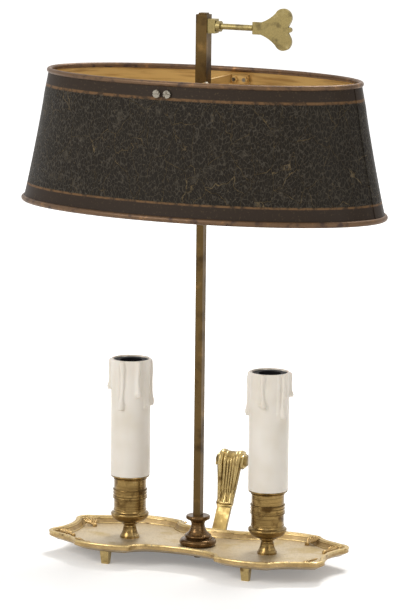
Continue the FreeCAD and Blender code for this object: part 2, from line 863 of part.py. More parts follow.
def make_contact(side, x):
    """The centre contact at the bottom of the bore."""
    bottom = lampholder_bottom() + size("lampholder_length") - size("lampholder_bore_depth")
    radius = size("contact_radius")
    return turned("%s_centre_contact" % side, [
        (0, 0),
        (radius, 0),
        (radius, size("contact_height") / 2),
        (radius / 2, size("contact_height") - 0.4),
        (0, size("contact_height") - 0.4),
    ], x=x, z=bottom)


# Wax drips as (angle from +X in degrees, length in mm)
DRIPS = {
    "left": ((-172, 21), (-104, 33), (-48, 23), (-18, 32), (60, 26), (128, 30)),
    "right": ((-168, 28), (-92, 21), (-38, 27), (-8, 16), (48, 30), (120, 22)),
}


def make_candle_tube(side, x):
    """A card candle tube with moulded wax drips that run down from its top edge."""
    radius = size("candle_radius")
    length = size("candle_length")
    pieces = [cylinder("%s_candle_outside" % side, radius, length, x=x, z=HOLDER_TOP)]
    for number, (angle, drop) in enumerate(DRIPS[side]):
        turn = math.radians(angle)
        offset = radius - size("drip_radius") * 0.7
        drip_x = offset * math.cos(turn) + x
        drip_y = offset * math.sin(turn)
        bottom = CANDLE_TOP - drop
        run = cylinder("%s_drip_%d_run" % (side, number), size("drip_radius"), drop,
                       x=drip_x, y=drip_y, z=bottom)
        bead = add("Part::Sphere", "%s_drip_%d_bead" % (side, number), Radius=size("drip_bead_radius"))
        pieces += [run, place(bead, drip_x, drip_y, bottom)]
    solid = fuse("%s_candle_solid" % side, pieces)
    bore = cylinder("%s_candle_bore" % side, radius - size("candle_wall"), length, x=x, z=HOLDER_TOP)
    return cut("%s_candle_tube" % side, solid, [bore])


# Wiring
def rounded_path(points, radii):
    """Straight runs joined by tangent arcs at each inner point."""
    edges = []
    start = points[0]
    for before, corner, after, radius in zip(points, points[1:], points[2:], radii):
        into = (corner - before).normalize()
        out = (after - corner).normalize()
        turn = into.getAngle(out)
        back = radius * math.tan(turn / 2)
        first, last = corner - into * back, corner + out * back
        inward = (out - into).normalize()
        middle = corner + inward * (radius / math.cos(turn / 2) - radius)
        edges.append(Part.LineSegment(start, first).toShape())
        edges.append(Part.Arc(first, middle, last).toShape())
        start = last
    edges.append(Part.LineSegment(start, points[-1]).toShape())
    return Part.Wire(edges)


def make_lead(side, sign):
    """The twin lead from the lampholder down the threaded tube to the terminal block."""
    x = size("holder_x").value * sign
    low = nipple_bottom().value - size("lead_bend_radius").value
    block_x = size("terminal_width").value / 2 * sign - size("terminal_x").value
    block_y = size("terminal_y").value
    block_z = (UNDERSIDE - size("terminal_height") + size("lead_entry_height")).value
    points = [
        FreeCAD.Vector(x, 0, lampholder_bottom().value),
        FreeCAD.Vector(x, 0, low),
        FreeCAD.Vector(block_x + size("lead_end_run").value * sign, block_y, low),
        FreeCAD.Vector(block_x, block_y, block_z),
    ]
    path = rounded_path(points, [size("lead_bend_radius").value, size("lead_turn_radius").value])
    ring = Part.Wire(Part.makeCircle(size("lead_radius").value, points[0], FreeCAD.Vector(0, 0, 1)))
    lead = add("Part::Feature", "%s_lead" % side)
    lead.Shape = path.makePipeShell([ring], True, False)
    print("%s lead: volume %.1f, section times length %.1f"
          % (side, lead.Shape.Volume, math.pi * size("lead_radius").value ** 2 * path.Length))
    return lead


def make_terminals():
    """The terminal block under the tray and its four clamp screws."""
    y = size("terminal_y")
    bottom = UNDERSIDE - size("terminal_height")
    blank = block("terminal_bar", size("terminal_width"), size("terminal_depth"),
                  size("terminal_height"), x=-size("terminal_x"), y=y, z=bottom)
    holes, screws = [], []
    for index in range(4):
        x = size("terminal_screw_pitch") * (index - 1.5) - size("terminal_x")
        length = size("terminal_screw_length")
        radius = size("terminal_screw_radius")
        holes.append(cylinder("terminal_hole_%d" % index, radius + size("fit_clearance") / 2, length,
                              x=x, y=y, z=bottom))
        screws.append(cylinder("terminal_screw_%d" % index, radius, length, x=x, y=y, z=bottom))
    leads = [DOCUMENT.getObject("%s_lead" % side) for side, _ in SIDES]
    cut("terminal_block", blank, holes + leads)
    group("terminal_screws", screws)


def make_cord_grip():
    """The grip under the tray that a supply cord passes through on its way to the rear."""
    depth = size("cord_grip_depth")
    bottom = UNDERSIDE - size("cord_grip_height")
    blank = block("cord_grip_bar", size("cord_grip_width"), depth, size("cord_grip_height"),
                  x=size("cord_grip_x"), y=size("cord_grip_y"), z=bottom)
    bore = cylinder("cord_grip_bore", size("cord_bore_radius"), depth, x=size("cord_grip_x"),
                    y=size("cord_grip_y") - depth / 2, z=bottom + size("cord_grip_height") / 2, axis=ALONG_Y)
    return cut("cord_grip", blank, [bore])


# Shade
def oval(name, half_x, half_y, height):
    """A level ellipse about the rod."""
    return place(add("Part::Ellipse", name, MajorRadius=half_x, MinorRadius=half_y), z=height)


def oval_cone(name, inset):
    """The solid between the shade's two ellipses, both drawn in by inset."""
    sections = []
    for level in ("bottom", "top"):
        sections.append(oval("%s_%s" % (name, level), size("shade_%s_x" % level) - inset,
                             size("shade_%s_y" % level) - inset, SHADE_LEVELS[level]))
    loft = add("Part::Loft", name)
    loft.Sections = sections
    loft.Solid = True
    loft.Ruled = True
    return loft


def make_shade_shell():
    """The thin sheet-metal shade, drilled for its four screws."""
    wall = size("shade_wall")
    blank = cut("shade_sheet", oval_cone("shade_outside", as_size(0)), [oval_cone("shade_inside", wall)])
    holes = [screw_cylinder("shade_hole_%d" % index, size("shade_screw_radius") + size("fit_clearance"),
                            end, x, screw_inner_y(), screw_outer_y() + wall)
             for index, (end, x) in enumerate(screw_places())]
    return cut("shade_shell", blank, holes)


def make_bead(level):
    """The brass edge bead, a split tube slipped over the sheet's edge, its seam line away from the sheet."""
    radius = size("%s_bead_radius" % level)
    half_x, half_y = size("shade_%s_x" % level), size("shade_%s_y" % level)
    height = SHADE_LEVELS[level]
    middle = size("shade_wall") / 2
    spine = oval("shade_%s_bead_spine" % level, half_x - middle, half_y - middle, height)
    ring = add("Part::Circle", "shade_%s_bead_ring" % level, Radius=radius)
    seam_turn = {"top": -90, "bottom": 90}[level]
    ring.Placement.Rotation = FreeCAD.Rotation(FreeCAD.Vector(0, 1, 0), seam_turn) * UPRIGHT
    place(ring, half_x - middle, 0, height)
    tube = add("Part::Sweep", "shade_%s_bead_tube" % level)
    tube.Sections = [ring]
    tube.Spine = (spine, ["Edge1"])
    tube.Solid = True
    return cut("shade_%s_bead" % level, tube, [DOCUMENT.getObject("shade_sheet")])


def wall_half_y(height):
    """Half the shade's depth at a height, on the outside."""
    slope = (size("shade_bottom_y") - size("shade_top_y")) / size("shade_height")
    return size("shade_top_y") + slope * (SHADE_LEVELS["top"] - height)


def screw_places():
    """Each shade screw as its end of the lamp, -1 front or 1 rear, and its place across."""
    pitch = size("shade_screw_pitch")
    return [(-1, -pitch), (-1, as_size(0)), (1, pitch), (1, as_size(0))]


def screw_outer_y():
    """Where the screw heads seat: the shade's outside at the lower edge of a head."""
    return wall_half_y(SCREW_HEIGHT - size("shade_screw_head_radius"))


def tab_outer_y():
    """The outer face of an arm's turned end, clear of the shade's curved wall."""
    return wall_half_y(SCREW_HEIGHT + size("arm_below_screw")) - size("shade_wall") - size("arm_wall_clearance")


def screw_inner_y():
    """The tip of a shade screw, just past its nut."""
    return tab_outer_y() - size("arm_thickness") - size("shade_nut_height") - size("shade_screw_spare")


def screw_cylinder(name, radius, end, x, inner, outer):
    """A cylinder along Y between two distances from the rod, at the front or the rear."""
    start = inner if end > 0 else -outer
    return cylinder(name, radius, outer - inner, x=x, y=start, z=SCREW_HEIGHT, axis=ALONG_Y)


def make_shade_screws():
    """Four slotted screws through the shade and the arms' turned ends."""
    screws = []
    head = size("shade_screw_head_radius")
    height = size("shade_screw_head_height")
    for index, (end, x) in enumerate(screw_places()):
        outer = screw_outer_y()
        shank = screw_cylinder("screw_%d_shank" % index, size("shade_screw_radius"), end, x,
                               screw_inner_y(), outer)
        cap = screw_cylinder("screw_%d_cap" % index, head, end, x, outer, outer + height)
        slot = block("screw_%d_slot" % index, head * 2, size("shade_screw_slot"), size("shade_screw_slot"),
                     x=x, y=(outer + height - size("shade_screw_slot") / 2) * end,
                     z=SCREW_HEIGHT - size("shade_screw_slot") / 2)
        screws.append(cut("screw_%d" % index, fuse("screw_%d_blank" % index, [shank, cap]), [slot]))
    return group("shade_screws", screws)


def make_shade_nuts():
    """Four small nuts behind the arms' turned ends."""
    nuts = []
    for index, (end, x) in enumerate(screw_places()):
        inner = tab_outer_y() - size("arm_thickness") - size("shade_nut_height")
        start = inner if end > 0 else -(inner + size("shade_nut_height"))
        blank = add("Part::Prism", "shade_nut_%d_hexagon" % index, Circumradius=size("shade_nut_radius"),
                    Height=size("shade_nut_height"))
        blank.Polygon = 6
        blank.Placement.Rotation = ALONG_Y
        place(blank, x, start, SCREW_HEIGHT)
        hole = screw_cylinder("shade_nut_%d_hole" % index, size("shade_screw_radius") + size("fit_clearance") / 2,
                              end, x, inner, inner + size("shade_nut_height"))
        nuts.append(cut("shade_nut_%d" % index, blank, [hole]))
    return group("shade_nuts", nuts)


def make_arm(name, end):
    """A strap on edge from the sleeve to the shade, its end turned along the wall."""
    inner = size("arm_inner_x")
    outer = inner + size("arm_thickness")
    tab = outer - size("arm_tab_width")
    start = size("sleeve_side") / 2
    reach = tab_outer_y()
    back = reach - size("arm_thickness")
    corners = [(inner, start), (outer, start), (outer, reach), (tab, reach), (tab, back), (inner, back)]
    blank = padded(name + "_blank", "XY_Plane", [(x * -end, y * end) for x, y in corners],
                   size("arm_height"), z=SCREW_HEIGHT - size("arm_below_screw"))
    holes = [screw_cylinder("%s_hole_%d" % (name, index), size("shade_screw_radius") + size("fit_clearance"),
                            end, x, back, reach)
             for index, (side, x) in enumerate(screw_places()) if side == end]
    return cut(name, blank, holes)


def make_sleeve():
    """The square tube that slides on the rod, with a tapped hole for the key."""
    bottom = SLEEVE_TOP - size("sleeve_length")
    outside = block("sleeve_outside", size("sleeve_side"), size("sleeve_side"), size("sleeve_length"), z=bottom)
    inside = block("sleeve_inside", size("sleeve_bore"), size("sleeve_bore"), size("sleeve_length"), z=bottom)
    hole = cylinder("sleeve_key_hole", size("key_radius") + size("key_fit"), size("sleeve_side") / 2,
                    z=KEY_HEIGHT, axis=ALONG_X)
    return cut("sleeve", outside, [inside, hole])


# Clamp key
def make_key_boss():
    """The tapped block on the sleeve's side that the key screws through."""
    length = size("boss_length")
    blank = block("key_boss_bar", length, size("boss_depth"), size("boss_height"),
                  x=size("sleeve_side") / 2 + length / 2, z=KEY_HEIGHT - size("boss_height") / 2)
    hole = cylinder("key_boss_hole", size("key_radius") + size("key_fit"), length,
                    x=size("sleeve_side") / 2, z=KEY_HEIGHT, axis=ALONG_X)
    return cut("key_boss", blank, [hole])


def make_key():
    """The key: a round stem, a collar beside the boss and a heart-shaped bow."""
    tip = size("rod_side") / 2 + size("running_gap")
    cylinder("key_stem", size("key_radius"), size("key_bow_x") - tip, x=tip, z=KEY_HEIGHT, axis=ALONG_X)
    seat = size("sleeve_side") / 2 + size("boss_length") + size("running_gap")
    blank = cylinder("key_collar_disc", size("collar_radius"), size("collar_length"),
                     x=seat, z=KEY_HEIGHT, axis=ALONG_X)
    hole = cylinder("key_collar_hole", size("key_radius"), size("collar_length"),
                    x=seat, z=KEY_HEIGHT, axis=ALONG_X)
    cut("key_collar", blank, [hole])
    neck = size("bow_neck")
    lobe_x, lobe, radius = size("bow_lobe_x"), size("bow_lobe_offset"), size("bow_lobe_radius")
    hollow = size("bow_shoulder_hollow")
    join_x, join_z = lobe_x - size("bow_shoulder_inset"), lobe + size("bow_shoulder_rise")
    turn_x, turn_z = size("bow_tip_x"), size("bow_tip_offset")
    notch_x, notch_z = size("bow_notch_x"), size("bow_notch_offset")
    lower = [
        (as_size(0), -neck),
        (size("bow_neck_length"), -neck),
        (join_x, -join_z, hollow),
        (turn_x, -turn_z, -radius),
        (notch_x, -notch_z),
        (notch_x, notch_z, -size("bow_tip_reach")),
        (turn_x, turn_z),
        (join_x, join_z, -radius),
        (size("bow_neck_length"), neck, hollow),
        (as_size(0), neck),
    ]
    padded("key_bow", "XZ_Plane", lower, size("bow_thickness"), midplane=True,
           x=size("key_bow_x"), z=KEY_HEIGHT)


# Whole lamp
def make_lamp():
    """Model every piece and return the names of the finished ones."""
    make_tray()
    for end, end_sign in (("front", -1), ("rear", 1)):
        for side, side_sign in SIDES:
            make_foot(end, end_sign, side, side_sign)
    make_handle()
    make_handle_rivets()
    make_rod_foot()
    make_rod()
    make_rod_fixings()
    for side, sign in SIDES:
        x = size("holder_x") * sign
        for maker in (make_stem, make_cup, make_nipple, make_nipple_fixings, make_bracket,
                      make_lampholder, make_screw_shell, make_contact, make_candle_tube):
            maker(side, x)
        make_lead(side, sign)
    make_terminals()
    make_cord_grip()
    make_shade_shell()
    make_bead("top")
    make_bead("bottom")
    make_arm("shade_arm_front", -1)
    make_arm("shade_arm_rear", 1)
    make_shade_screws()
    make_shade_nuts()
    make_sleeve()
    make_key_boss()
    make_key()
    holder_nodes = ["stem", "cup", "nipple", "washer", "lower_nut", "cup_nut", "bracket", "lampholder",
                    "screw_shell", "centre_contact", "candle_tube", "lead"]
    names = ["tray", "foot_front_left", "foot_front_right", "foot_rear_left", "foot_rear_right",
             "handle", "handle_rivets", "rod_foot", "rod", "rod_washer", "rod_nut",
             "terminal_block", "terminal_screws", "cord_grip", "shade_shell", "shade_top_bead",
             "shade_bottom_bead", "shade_arm_front", "shade_arm_rear", "shade_screws", "shade_nuts",
             "sleeve", "key_boss", "key_stem", "key_collar", "key_bow"]
    return names + ["%s_%s" % (side, node) for side, _ in SIDES for node in holder_nodes]


def check_and_write(names):
    """Stop on any failed object, then write each finished piece to its own file."""
    DOCUMENT.recompute()
    for thing in DOCUMENT.Objects:
        if "Invalid" in thing.State or "Error" in thing.State:
            raise RuntimeError("%s did not build: %s" % (thing.Name, thing.State))
    os.makedirs("parts", exist_ok=True)
    pieces = {}
    for name in names:
        piece = DOCUMENT.getObjectsByLabel(name)[0]
        shape = piece.Shape
        if shape.isNull() or not shape.isValid() or not shape.Solids:
            raise RuntimeError("%s has no valid solid" % name)
        pieces[name] = shape
    for name, shape in pieces.items():
        shape.exportStep("parts/%s.step" % name)
        print("%-20s solids %d volume %9.1f" % (name, len(shape.Solids), shape.Volume))


check_and_write(make_lamp())
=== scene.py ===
# A bouillotte lamp: two candle lights on a gilt tray under an oval painted shade
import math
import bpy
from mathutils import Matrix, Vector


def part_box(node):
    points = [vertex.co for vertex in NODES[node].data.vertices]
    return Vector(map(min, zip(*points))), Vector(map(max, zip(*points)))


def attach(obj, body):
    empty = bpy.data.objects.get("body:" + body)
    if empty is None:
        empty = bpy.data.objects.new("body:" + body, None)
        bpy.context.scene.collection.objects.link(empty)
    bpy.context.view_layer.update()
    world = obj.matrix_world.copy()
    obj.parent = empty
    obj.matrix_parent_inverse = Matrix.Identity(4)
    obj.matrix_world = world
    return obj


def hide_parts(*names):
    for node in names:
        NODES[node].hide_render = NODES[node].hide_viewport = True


bl_info = {
    "name": "Bouillotte Lamp",
    "version": (1, 0, 0),
    "blender": (4, 5, 0),
    "location": "View3D > Sidebar > Lamp",
    "description": "Dresses a two-light bouillotte lamp with brass, candle and painted tin finishes",
    "category": "Object",
}

import bpy
from bpy.props import FloatProperty, FloatVectorProperty, IntProperty, PointerProperty
from mathutils import Matrix, Vector

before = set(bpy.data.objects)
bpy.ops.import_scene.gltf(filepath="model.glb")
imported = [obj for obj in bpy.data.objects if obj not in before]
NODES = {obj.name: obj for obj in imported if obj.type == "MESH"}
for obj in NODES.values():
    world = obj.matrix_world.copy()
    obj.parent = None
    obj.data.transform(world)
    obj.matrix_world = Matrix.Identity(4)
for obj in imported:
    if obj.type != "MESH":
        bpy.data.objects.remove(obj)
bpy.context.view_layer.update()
MM = 0.001
IMAGE_HEIGHT = 610
SENSOR = 36.0
SIDES = (("left", -1), ("right", 1))

# Each wax run as its bearing about the candle in degrees and its length in millimetres
DRIPS = {
    "left": ((-163, 21), (-88, 33), (-42, 24), (20, 31), (75, 26), (135, 30)),
    "right": ((-159, 29), (-85, 22), (-24, 29), (24, 16), (66, 30), (125, 22)),
}

# Stages of a wax run as (share of its length, stand from the candle's axis, radius), in millimetres
DRIP_STAGES = ((0.0, 12.8, 2.0), (0.12, 13.6, 2.0), (0.45, 13.9, 1.2),
               (0.78, 14.0, 1.3), (0.92, 14.1, 2.7), (1.0, 13.8, 1.9))

# Ribs of the handle's fan as (x at the collar, x at the scroll, radius at each, lift of the crest),
# in millimetres
HANDLE_RIBS = ((-4.6, -6.3, 0.9, 2.0, 0.3), (-2.4, -2.9, 0.7, 1.4, 0.0), (-0.6, -0.4, 0.6, 1.0, -1.4),
               (1.0, 1.9, 0.6, 1.1, -0.8), (2.6, 4.2, 0.7, 1.5, 0.1), (4.6, 6.6, 0.9, 2.0, 0.2))

# The way that every rib takes as (share of its spread, y, z), and the height above which it is lifted
RIB_PATH = ((0.0, 44.4, 33.0), (0.15, 45.6, 39.0), (0.40, 47.2, 47.0), (0.72, 48.8, 54.5),
            (0.95, 49.4, 59.0), (1.0, 51.2, 63.3), (1.0, 55.4, 65.1), (1.0, 60.0, 63.4))
CREST_HEIGHT = 61

# Rings turned on a cup as (drop below the lip, radius, half thickness), in millimetres
CUP_RINGS = ((10.3, 11.5, 0.38), (12.5, 11.5, 0.22), (14.6, 11.5, 0.24),
             (16.0, 11.4, 0.38), (24.1, 11.0, 0.35), (2.7, 11.1, 0.35))

# Shells in one quarter of the tray as (root in millimetres, slope of the direction, size that sets
# its length, rise in degrees)
SHELLS = (((86.5, 16.5, 11.6), 0.42, "shell_length", 24),
          ((66.5, 33.5, 11.9), 1.5, "shell_length", 24),
          ((29.5, 37.0, 14.6), 6.0, "cusp_length", 8))

# Shape of a shell as shares of its length: how far the outer flutes fall short, how wide and how high
# a flute is, its half length, its middle and the boss at the root
SHELL_FALL = 0.25
FLUTE_WIDTH, FLUTE_HEIGHT = 0.62, 0.75
FLUTE_HALF, FLUTE_MIDDLE = 0.52, 0.55
SHELL_BOSS = 0.17

# Solder beside the sleeve as (place, half widths), in millimetres
SOLDER = (((4.2, -4.3, 325.6), (2.3, 1.6, 2.4)), ((5.2, -5.6, 324.0), (1.6, 2.0, 2.0)),
          ((-4.2, 4.3, 325.0), (2.1, 1.6, 2.4)))


# Colours
def linear(code):
    """A written sRGB colour such as #cdbb97 as linear red, green and blue."""
    parts = [int(code[i:i + 2], 16) / 255 for i in (1, 3, 5)]
    return tuple(p / 12.92 if p <= 0.04045 else ((p + 0.055) / 1.055) ** 2.4 for p in parts)


def paint(name, description, code):
    """A colour that the panel shows."""
    return FloatVectorProperty(name=name, description=description, subtype="COLOR", size=3,
                               min=0, max=1, default=linear(code))


def length(name, description, millimetres):
    """A size that the panel shows."""
    return FloatProperty(name=name, description=description, default=millimetres * MM,
                         min=0, unit="LENGTH", precision=4)


class LampColours(bpy.types.PropertyGroup):
    """Colours of the lamp's finishes."""
    tray: paint("Tray", "Gilt brass of the tray", "#b9a271")
    tray_pale: paint("Tray pale", "Rubbed gilt on the tray's floor", "#cbb998")
    # Also painted shade on the tray's underside
    tray_dark: paint("Tray dark", "Old lacquer in the tray's hollows", "#755c34")
    tray_side: paint("Tray side", "Golden lacquer on the tray's sloping side", "#b9985e")
    # Also the painted highlight, partly rubbed gilt, along the tray's top edge
    rim: paint("Rim", "Bright gilt on the beads and shells", "#cdb37a")
    # Darker in part as painted shade on the handle's strap
    handle: paint("Handle", "Gilt brass of the handle", "#8a7545")
    handle_bright: paint("Handle bright", "Rubbed gilt of the handle", "#c4ad75")
    cup: paint("Cup", "Turned brass of the candle cups", "#9a7f4d")
    cup_bright: paint("Cup bright", "Rubbed brass of the candle cups", "#c9ae7a")
    cup_dark: paint("Cup dark", "Tarnish of the candle cups", "#4c3617")
    foot: paint("Rod foot", "Bronze colour of the rod's foot", "#6d5232")
    rod: paint("Rod", "Brown brass of the rod", "#5e4a2a")
    rod_bright: paint("Rod bright", "Rubbed brass of the rod", "#86683b")
    rod_dark: paint("Rod dark", "Tarnish of the rod", "#3a2b18")
    key: paint("Key", "Yellow brass of the key", "#978653")
    key_bright: paint("Key bright", "Rubbed brass of the key", "#b9a874")
    key_dark: paint("Key dark", "Tarnish of the key", "#5f5230")
    candle: paint("Candle", "Wax colour of the candle tubes", "#e6dfd4")
    candle_warm: paint("Candle warm", "Yellowed wax colour", "#ddd4c5")
    field: paint("Shade field", "Crackled paint of the shade", "#26221d")
    field_light: paint("Shade field light", "Worn paint of the shade", "#6b6356")
    crack: paint("Crack", "Brown ground that shows in the cracks", "#77664a")
    band: paint("Shade bands", "Plain paint beside the edges", "#362d26")
    line: paint("Gold line", "Worn gold lines on the shade", "#6f543a")
    lining: paint("Shade lining", "Gold paint inside the shade", "#c8a463")
    lining_dark: paint("Lining dark", "Rubbed gold paint inside the shade", "#a58046")
    bead: paint("Edge bead", "Worn copper edge of the shade", "#664b30")
    bead_bright: paint("Edge bead bright", "Rubbed copper edge of the shade", "#92693e")
    bead_dark: paint("Edge bead dark", "Dark paint left on the edge", "#38261b")
    steel: paint("Steel", "Zinc plate of washers and nuts", "#958f82")
    solder: paint("Solder", "Grey solder and nickel screws", "#b3aa98")
    black: paint("Black plastic", "Moulded lampholders", "#0f0e11")
    sleeving: paint("Sleeving", "Sleeve of the leads", "#3a332b")
    # Dark brown phenolic, kept this dark as painted shade under the tray
    terminal: paint("Terminal block", "Moulded terminal block", "#2b2622")
    floor: paint("Floor", "Pale studio floor", "#f4f3f1")


class LampSizes(bpy.types.PropertyGroup):
    """Sizes of the details that the finishes and mouldings follow."""
    crack_cell: length("Crack cell", "Distance between the main cracks of the paint", 15.0)
    pebble: length("Pebble", "Distance between the fine cracks of the paint", 1.9)
    top_line: length("Top line", "Gold line below the shade's top edge", 9.8)
    bottom_line: length("Bottom line", "Gold line above the shade's bottom edge", 10.4)
    line_width: length("Line width", "Width of the gold lines", 2.0)
    lap_height: length("Lap", "Thickness that the shade's lapped seam adds", 0.5)
    flare: length("Flare", "How far the shade flares at its bottom edge", 0.7)
    outer_bead: length("Outer bead", "Radius of the bead on the tray's edge", 0.75)
    inner_bead: length("Inner bead", "Radius of the bead round the tray's floor", 0.45)
    shell_length: length("Shell length", "Length of the flutes on the tray's corners", 10.0)
    cusp_length: length("Cusp shell", "Length of the flutes beside the tray's waist", 5.6)
    shell_flutes: IntProperty(name="Shell flutes", description="Flutes in each shell", default=7, min=3)
    wax_voxel: length("Wax grain", "Fineness of the wax drips", 0.42)
    brushing: length("Brushing", "Distance between the turning marks on the cups", 0.9)


# Material helpers
def node(tree, kind, links=None, out=0, stops=None, **settings):
    """Add a node with its settings; links gives each socket a value or another node's output."""
    made = tree.nodes.new("ShaderNode" + kind)
    for name, value in settings.items():
        setattr(made, name, value)
    if stops:
        ramp = made.color_ramp
        while len(ramp.elements) < len(stops):
            ramp.elements.new(0.5)
        for element, (place, tint) in zip(ramp.elements, stops):
            element.position = place
            element.color = (*tint, 1)
    for socket, value in (links or {}).items():
        entry = made.inputs[socket]
        if isinstance(value, bpy.types.NodeSocket):
            tree.links.new(value, entry)
        elif entry.type == "RGBA" and len(value) == 3:
            entry.default_value = (*value, 1)
        else:
            entry.default_value = value
    return made.outputs[out] if made.outputs else made


def new_material(name, **sockets):
    """A material with its shader, whose sockets take plain values, and the piece's own coordinates."""
    material = bpy.data.materials.new(name)
    material.use_nodes = True
    tree = material.node_tree
    tree.nodes.clear()
    surface = node(tree, "BsdfPrincipled", {key.replace("_", " "): value for key, value in sockets.items()})
    node(tree, "OutputMaterial", {"Surface": surface})
    place = node(tree, "TexCoord", out="Object")
    return material, tree, surface.node.inputs, place


def old_metal(name, colours, patch, roughness, metallic, grit=0.5 * MM, depth=0.03 * MM, turned=0.0):
    """Cast or turned metal with tarnish in patches, rubbed spots, fine grit and, if turned, ring marks."""
    material, tree, shader, place = new_material(name, Metallic=metallic)
    dark, plain, bright = colours
    cloud = node(tree, "TexNoise", {"Vector": place, "Scale": 1 / patch, "Detail": 4.0})
    stops = [(0.30, dark), (0.46, plain), (0.60, plain), (0.74, bright)]
    tint = node(tree, "ValToRGB", {0: cloud}, stops=stops)
    fine = node(tree, "TexNoise", {"Vector": place, "Scale": 1 / grit, "Detail": 2.0})
    specks = node(tree, "MapRange", {0: fine, 1: 0.35, 2: 0.6, 3: 0.35, 4: 0.0})
    tint = node(tree, "Mix", {0: specks, 6: tint, 7: dark}, out=2, data_type="RGBA")
    normal = node(tree, "Bump", {"Height": fine, "Distance": depth})
    if turned:
        flat = node(tree, "Mapping", {"Vector": place, "Scale": (30, 30, 1 / turned)})
        rings = node(tree, "TexNoise", {"Vector": flat, "Scale": 1.0, "Detail": 3.0})
        marks = node(tree, "MapRange", {0: rings, 1: 0.38, 2: 0.60, 3: 0.6, 4: 0.0})
        tint = node(tree, "Mix", {0: marks, 6: tint, 7: dark}, out=2, data_type="RGBA")
        normal = node(tree, "Bump", {"Height": rings, "Distance": depth * 3, "Normal": normal})
    tree.links.new(tint, shader["Base Color"])
    tree.links.new(normal, shader["Normal"])
    gloss = node(tree, "MapRange", {0: cloud, 1: 0.3, 2: 0.75, 3: roughness + 0.10, 4: roughness - 0.06})
    tree.links.new(gloss, shader["Roughness"])
    return material


# Finishes
def gilt_tray_brass():
    """Cast brass, gilded and rubbed: a soft satin floor, darker lacquer left in its hollows, painted shade
    on its underside and a painted highlight, partly rubbed gilt, along its top edge.
    """
    c = bpy.context.scene.lamp_colours
    material, tree, shader, place = new_material("gilt_cast_brass", Metallic=0.5)
    height = node(tree, "SeparateXYZ", {0: place}, out="Z")
    cloud = node(tree, "TexNoise", {"Vector": place, "Scale": 1 / (16 * MM), "Detail": 6.0,
                                    "Roughness": 0.6})
    tint = node(tree, "ValToRGB", {0: cloud}, stops=[(0.34, c.tray), (0.50, c.tray_pale),
                                                     (0.62, c.tray_pale), (0.74, c.rim)])
    side = node(tree, "MapRange", {0: height, 1: 11.3 * MM, 2: 12.2 * MM, 3: 0.0, 4: 0.8})
    tint = node(tree, "Mix", {0: side, 6: tint, 7: c.tray_side}, out=2, data_type="RGBA")
    foot = node(tree, "MapRange", {0: height, 1: 11.10 * MM, 2: 11.9 * MM})
    brow = node(tree, "MapRange", {0: height, 1: 14.0 * MM, 2: 15.2 * MM, 3: 1.0, 4: 0.0})
    cove = node(tree, "Math", {0: foot, 1: brow}, operation="MULTIPLY")
    patchy = node(tree, "TexNoise", {"Vector": place, "Scale": 1 / (6 * MM), "Detail": 4.0})
    worn = node(tree, "MapRange", {0: patchy, 1: 0.38, 2: 0.62, 3: 0.10, 4: 0.45})
    hollow = node(tree, "Math", {0: cove, 1: worn}, operation="MULTIPLY")
    tint = node(tree, "Mix", {0: hollow, 6: tint, 7: c.tray_dark}, out=2, data_type="RGBA")
    # Painted highlight, partly rubbed gilt: the rim's top edge is coloured bright gilt by height
    crown = node(tree, "MapRange", {0: height, 1: 15.0 * MM, 2: 15.4 * MM})
    tint = node(tree, "Mix", {0: crown, 6: tint, 7: c.rim}, out=2, data_type="RGBA")
    # Painted shade: below the floor's level the tray darkens towards the lacquer colour, as the shade under
    # the tray
    under = node(tree, "MapRange", {0: height, 1: 10.6 * MM, 2: 10.9 * MM, 3: 0.7, 4: 0.0})
    tint = node(tree, "Mix", {0: under, 6: tint, 7: c.tray_dark}, out=2, data_type="RGBA")
    grit = node(tree, "TexNoise", {"Vector": place, "Scale": 1 / (0.8 * MM), "Detail": 3.0})
    specks = node(tree, "MapRange", {0: grit, 1: 0.34, 2: 0.52, 3: 0.45, 4: 0.0})
    tint = node(tree, "Mix", {0: specks, 6: tint, 7: c.tray_dark}, out=2, data_type="RGBA")
    tree.links.new(tint, shader["Base Color"])
    gloss = node(tree, "MapRange", {0: cloud, 1: 0.3, 2: 0.7, 3: 0.50, 4: 0.34})
    tree.links.new(gloss, shader["Roughness"])
    tree.links.new(node(tree, "Bump", {"Height": grit, "Distance": 0.06 * MM}), shader["Normal"])
    return material


def candle_plastic():
    """Cast candle sleeve: off-white plastic with a wax sheen, faintly yellowed where it was handled."""
    c = bpy.context.scene.lamp_colours
    material, tree, shader, place = new_material(
        "candle_plastic", Subsurface_Weight=0.10, Subsurface_Scale=1.0,
        Subsurface_Radius=(1.2 * MM, 0.8 * MM, 0.5 * MM))
    cloud = node(tree, "TexNoise", {"Vector": place, "Scale": 1 / (22 * MM), "Detail": 2.0})
    tint = node(tree, "ValToRGB", {0: cloud}, stops=[(0.30, c.candle_warm), (0.62, c.candle)])
    tree.links.new(tint, shader["Base Color"])
    gloss = node(tree, "MapRange", {0: cloud, 1: 0.3, 2: 0.7, 3: 0.42, 4: 0.30})
    tree.links.new(gloss, shader["Roughness"])
    swell = node(tree, "TexNoise", {"Vector": place, "Scale": 1 / (5 * MM), "Detail": 1.0})
    tree.links.new(node(tree, "Bump", {"Height": swell, "Distance": 0.12 * MM}), shader["Normal"])
    return material


